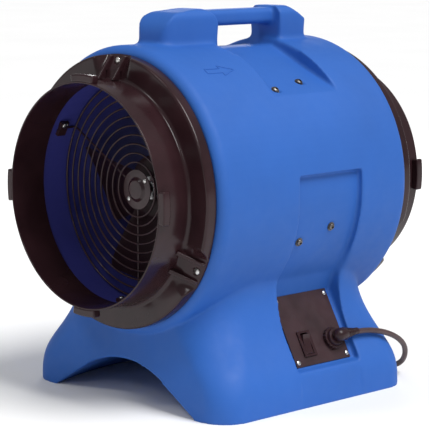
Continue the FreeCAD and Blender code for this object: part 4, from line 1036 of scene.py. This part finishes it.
def fasteners():
    cross = pan_screw(*COLLAR_SCREW)
    fixing = [(around(COLLAR_SCREW_R, a, DISH_SEAT_Y - 0.05), (0, -1, 0), spin_of(i))
              for i, a in enumerate(FIXING_ANGLES)]
    for places, end in zip(both_ends(fixing), ("front", "rear")):
        stamp(f"{end}_collar_pan_screws", cross, places, ZINC, "frame", f"{end}_collar_screws")
    clip = pan_screw(*CLIP_SCREW)
    clips = []
    for i, a in enumerate(GUARD_SPOKES):
        inward = around(-1.0, a, 0.0)
        clips.append((around(DUCT_R - 6.25, a, -GUARD_FIX_Y, CLIP_SCREW_OFF), inward, spin_of(i)))
    for places, end in zip(both_ends(clips), ("front", "rear")):
        stamp(f"{end}_clip_pan_screws", clip, places, ZINC, "frame", f"{end}_guard_clip_screws")
    rivet = headed(*RIVET, None)
    rivets = both_ends([(around(RIVET_R, a, -GUARD_Y - 0.02), (0, -1, 0), 0.0) for a in RIVET_ANGLES])
    stamp("disc_rivets", rivet, rivets[0] + rivets[1], ZINC, "frame", "guard_rivets")
    small = pan_screw(*PLATE_SCREW)
    _, out = plate_axes()
    length = math.dist(PLATE_TOP, PLATE_BOTTOM)
    corners = [(on_plate(y, s, 0.02), tuple(out), spin_of(i)) for i, (y, s) in
               enumerate((y, s) for y in (-25.0, 72.0) for s in (6.5, length - 6.5))]
    stamp("plate_pan_screws", small, corners, ZINC, "frame", "switch_plate_screws")
    bolt = headed(*ARM_BOLT, hex_tool(*ARM_BOLT_HEX))
    stamp("arm_button_bolts", bolt, arm_bolt_places(WASHER_T), DARK_BOLT, "frame", "motor_arm_bolts")
    washer = spun([
        (3.15, 0.0), (WASHER_R - 0.2, 0.0), (WASHER_R, 0.2), (WASHER_R, 1.1),
        (WASHER_R - 0.2, WASHER_T), (3.3, WASHER_T), (3.15, 1.15), (3.15, 0.0)])
    stamp("arm_flat_washers", washer, arm_bolt_places(0.0), DARK_BOLT, "frame", "motor_arm_washers")


# ---------------------------------------------------------------- cord gland

def scalloped(radius, depth, count, z0, z1, steps=8):
    """A knurled disc about its own Z."""
    bm = bmesh.new()
    n = count * steps
    rows = [(z0, 0.985), (z0 + 0.6, 1.0), (z1 - 0.8, 1.0), (z1, 0.95)]
    rings = []
    for z, share in rows:
        ring = []
        for k in range(n):
            r = (radius - depth * (0.5 - 0.5 * math.cos(2 * math.pi * k / steps)) ** 2) * share
            a = 2 * math.pi * k / n
            ring.append(bm.verts.new((r * math.cos(a), r * math.sin(a), z)))
        rings.append(ring)
    for low, high in zip(rings, rings[1:]):
        for k in range(n):
            m = (k + 1) % n
            bm.faces.new((low[k], low[m], high[m], high[k]))
    bm.faces.new(rings[0])
    bm.faces.new(rings[-1])
    bmesh.ops.recalc_face_normals(bm, faces=bm.faces)
    mesh = bpy.data.meshes.new("scalloped")
    bm.to_mesh(mesh)
    bm.free()
    return mesh


def gland():
    _, out = plate_axes()
    base = on_plate(GLAND_Y, GLAND_S, 0.02)
    stamp("gland_knurl", scalloped(16.0, 1.0, 18, 0.0, 6.0), [(base, tuple(out), 0.0)], GLAND_BLACK,
          "frame", "gland_body")
    collar = spun([(0, 5.0), (12.5, 5.0), (12.5, 9.4), (11.6, 10.7), (10.0, 11.0), (0, 11.0)], 48)
    stamp("gland_shoulder", collar, [(base, tuple(out), 0.0)], GLAND_BLACK, "frame", "gland_body")
    reach = 13.0
    elbow = [(0, -9.5)] + [(9.5 * math.sin(t), -9.5 * math.cos(t) + 1.5) for t in
                           (math.radians(15 * k) for k in range(1, 7))]
    elbow += [(9.5, reach - 1.2), (8.9, reach - 0.3), (8.0, reach), (0, reach)]
    stamp("gland_elbow", spun(elbow, 48), [(on_plate(GLAND_Y, GLAND_S, ELBOW_HEIGHT), (0, 1, 0), 0.0)],
          GLAND_BLACK, "frame", "gland_body")


# ---------------------------------------------------------------- fittings that keep their drawn shape

def fittings():
    for node, material, width in (
            ("front_guard_clips", GUARD_BLACK, 0.5), ("rear_guard_clips", GUARD_BLACK, 0.5),
            ("switch_plate", PLATE_BLACK, 0.4), ("switch_body", SWITCH_BLACK, 0.6),
            ("switch_rocker", SWITCH_BLACK, 0.5), ("gland_sleeve", GLAND_BLACK, 0.4),
            ("lead_grommet", RUBBER, 0.4), ("front_end_bell", CAST, 0.8), ("rear_end_bell", CAST, 0.8)):
        softened(node, material, width)
    plain = {
        "hub_bushing": STEEL, "hub_set_screws": DARK_BOLT, "motor_shaft": STEEL, "rotor_core": LAMINATION,
        "bearing_inner_rings": STEEL, "bearing_outer_rings": STEEL, "bearing_balls": STEEL,
        "motor_shell": GUARD_BLACK, "stator_core": LAMINATION, "stator_windings": COPPER,
        "motor_through_bolts": ZINC, "motor_through_nuts": ZINC, "motor_arm_nuts": ZINC,
        "motor_arm_shoe_screws": ZINC, "capacitor": CAN, "capacitor_strap": STEEL,
        "capacitor_strap_screw": ZINC, "gland_locknut": GLAND_BLACK, "motor_lead": CORD_BLACK,
        "plug_body": CORD_BLACK, "plug_prongs": BRASS,
    }
    for name in NODES:
        if name.startswith("motor_arm_upper") or name.startswith("motor_arm_lower"):
            plain[name] = GUARD_BLACK
    for name, material in plain.items():
        mesh = NODES[name].data
        mesh.materials.clear()
        mesh.materials.append(material)


# ---------------------------------------------------------------- floor, light and camera

def area_light(name, where, at, size, power):
    data = bpy.data.lights.new(name, "AREA")
    data.shape = "SQUARE"
    data.size = size
    data.energy = power
    obj = bpy.data.objects.new(name, data)
    obj.location = where
    obj.rotation_euler = (Vector(at) - Vector(where)).to_track_quat("-Z", "Y").to_euler()
    bpy.context.scene.collection.objects.link(obj)


SUN_TOWARD = (0.55, 0.10, 0.83)
LIGHT_AWAY = 3.2
# name, direction from the machine, size in metres and watts
LIGHTS = (("window_left", (-0.2, -0.64, 0.74), 0.5, 12), ("window_right", (0.5, -0.74, 0.445), 0.35, 4),
          ("window_back", (-0.68, 0.68, 0.27), 0.9, 14))


def studio():
    floor_size = 60.0
    corners = [(-1, -1), (1, -1), (1, 1), (-1, 1)]
    g = Graph("floor_paper", Roughness=0.9)
    g.set("Base Color", g.ramp(g.noise(2.0, 2.0), [(0.3, (0.93, 0.93, 0.93)), (0.7, (0.95, 0.95, 0.95))]))
    floor = mesh_object("floor", [(x * floor_size, y * floor_size, 0.0) for x, y in corners], [(0, 1, 2, 3)],
                        g.material)
    world = bpy.data.worlds.new("studio")
    bpy.context.scene.world = world
    world.use_nodes = True
    world.node_tree.nodes["Background"].inputs["Color"].default_value = (1, 1, 1, 1)
    world.node_tree.nodes["Background"].inputs["Strength"].default_value = 0.33
    bpy.context.scene.view_settings.view_transform = "Standard"
    sun = bpy.data.lights.new("overhead", "SUN")
    sun.energy = 2.9
    sun.angle = math.radians(35)
    lamp = bpy.data.objects.new("overhead", sun)
    lamp.rotation_euler = Vector(SUN_TOWARD).to_track_quat("Z", "Y").to_euler()
    bpy.context.scene.collection.objects.link(lamp)
    middle = Vector((0.0, 0.0, 0.3))
    for name, toward, size, power in LIGHTS:
        area_light(name, middle + Vector(toward) * LIGHT_AWAY, middle, size, power)


CAMERA_AT = (2.0192, -1.9294, 0.6699)
CAMERA_AZIMUTH = 46.42
CAMERA_ELEVATION = 8.69


def camera():
    """A long lens on a 36 mm wide sensor, which sees the machine from the switch side."""
    azimuth, elevation = math.radians(CAMERA_AZIMUTH), math.radians(CAMERA_ELEVATION)
    data = bpy.data.cameras.new("camera")
    data.sensor_width = 36.0
    data.lens = 164.4
    data.clip_start, data.clip_end = 0.05, 200.0
    obj = bpy.data.objects.new("camera", data)
    back = Vector((math.sin(azimuth) * math.cos(elevation), -math.cos(azimuth) * math.cos(elevation),
                   math.sin(elevation)))
    obj.location = CAMERA_AT
    obj.rotation_euler = (-back).to_track_quat("-Z", "Y").to_euler()
    bpy.context.scene.collection.objects.link(obj)
    bpy.context.scene.camera = obj


camera()
studio()
cord()
housing_shell()
airflow_arrow()
collars()
guards()
impeller()
gland()
fasteners()
fittings()
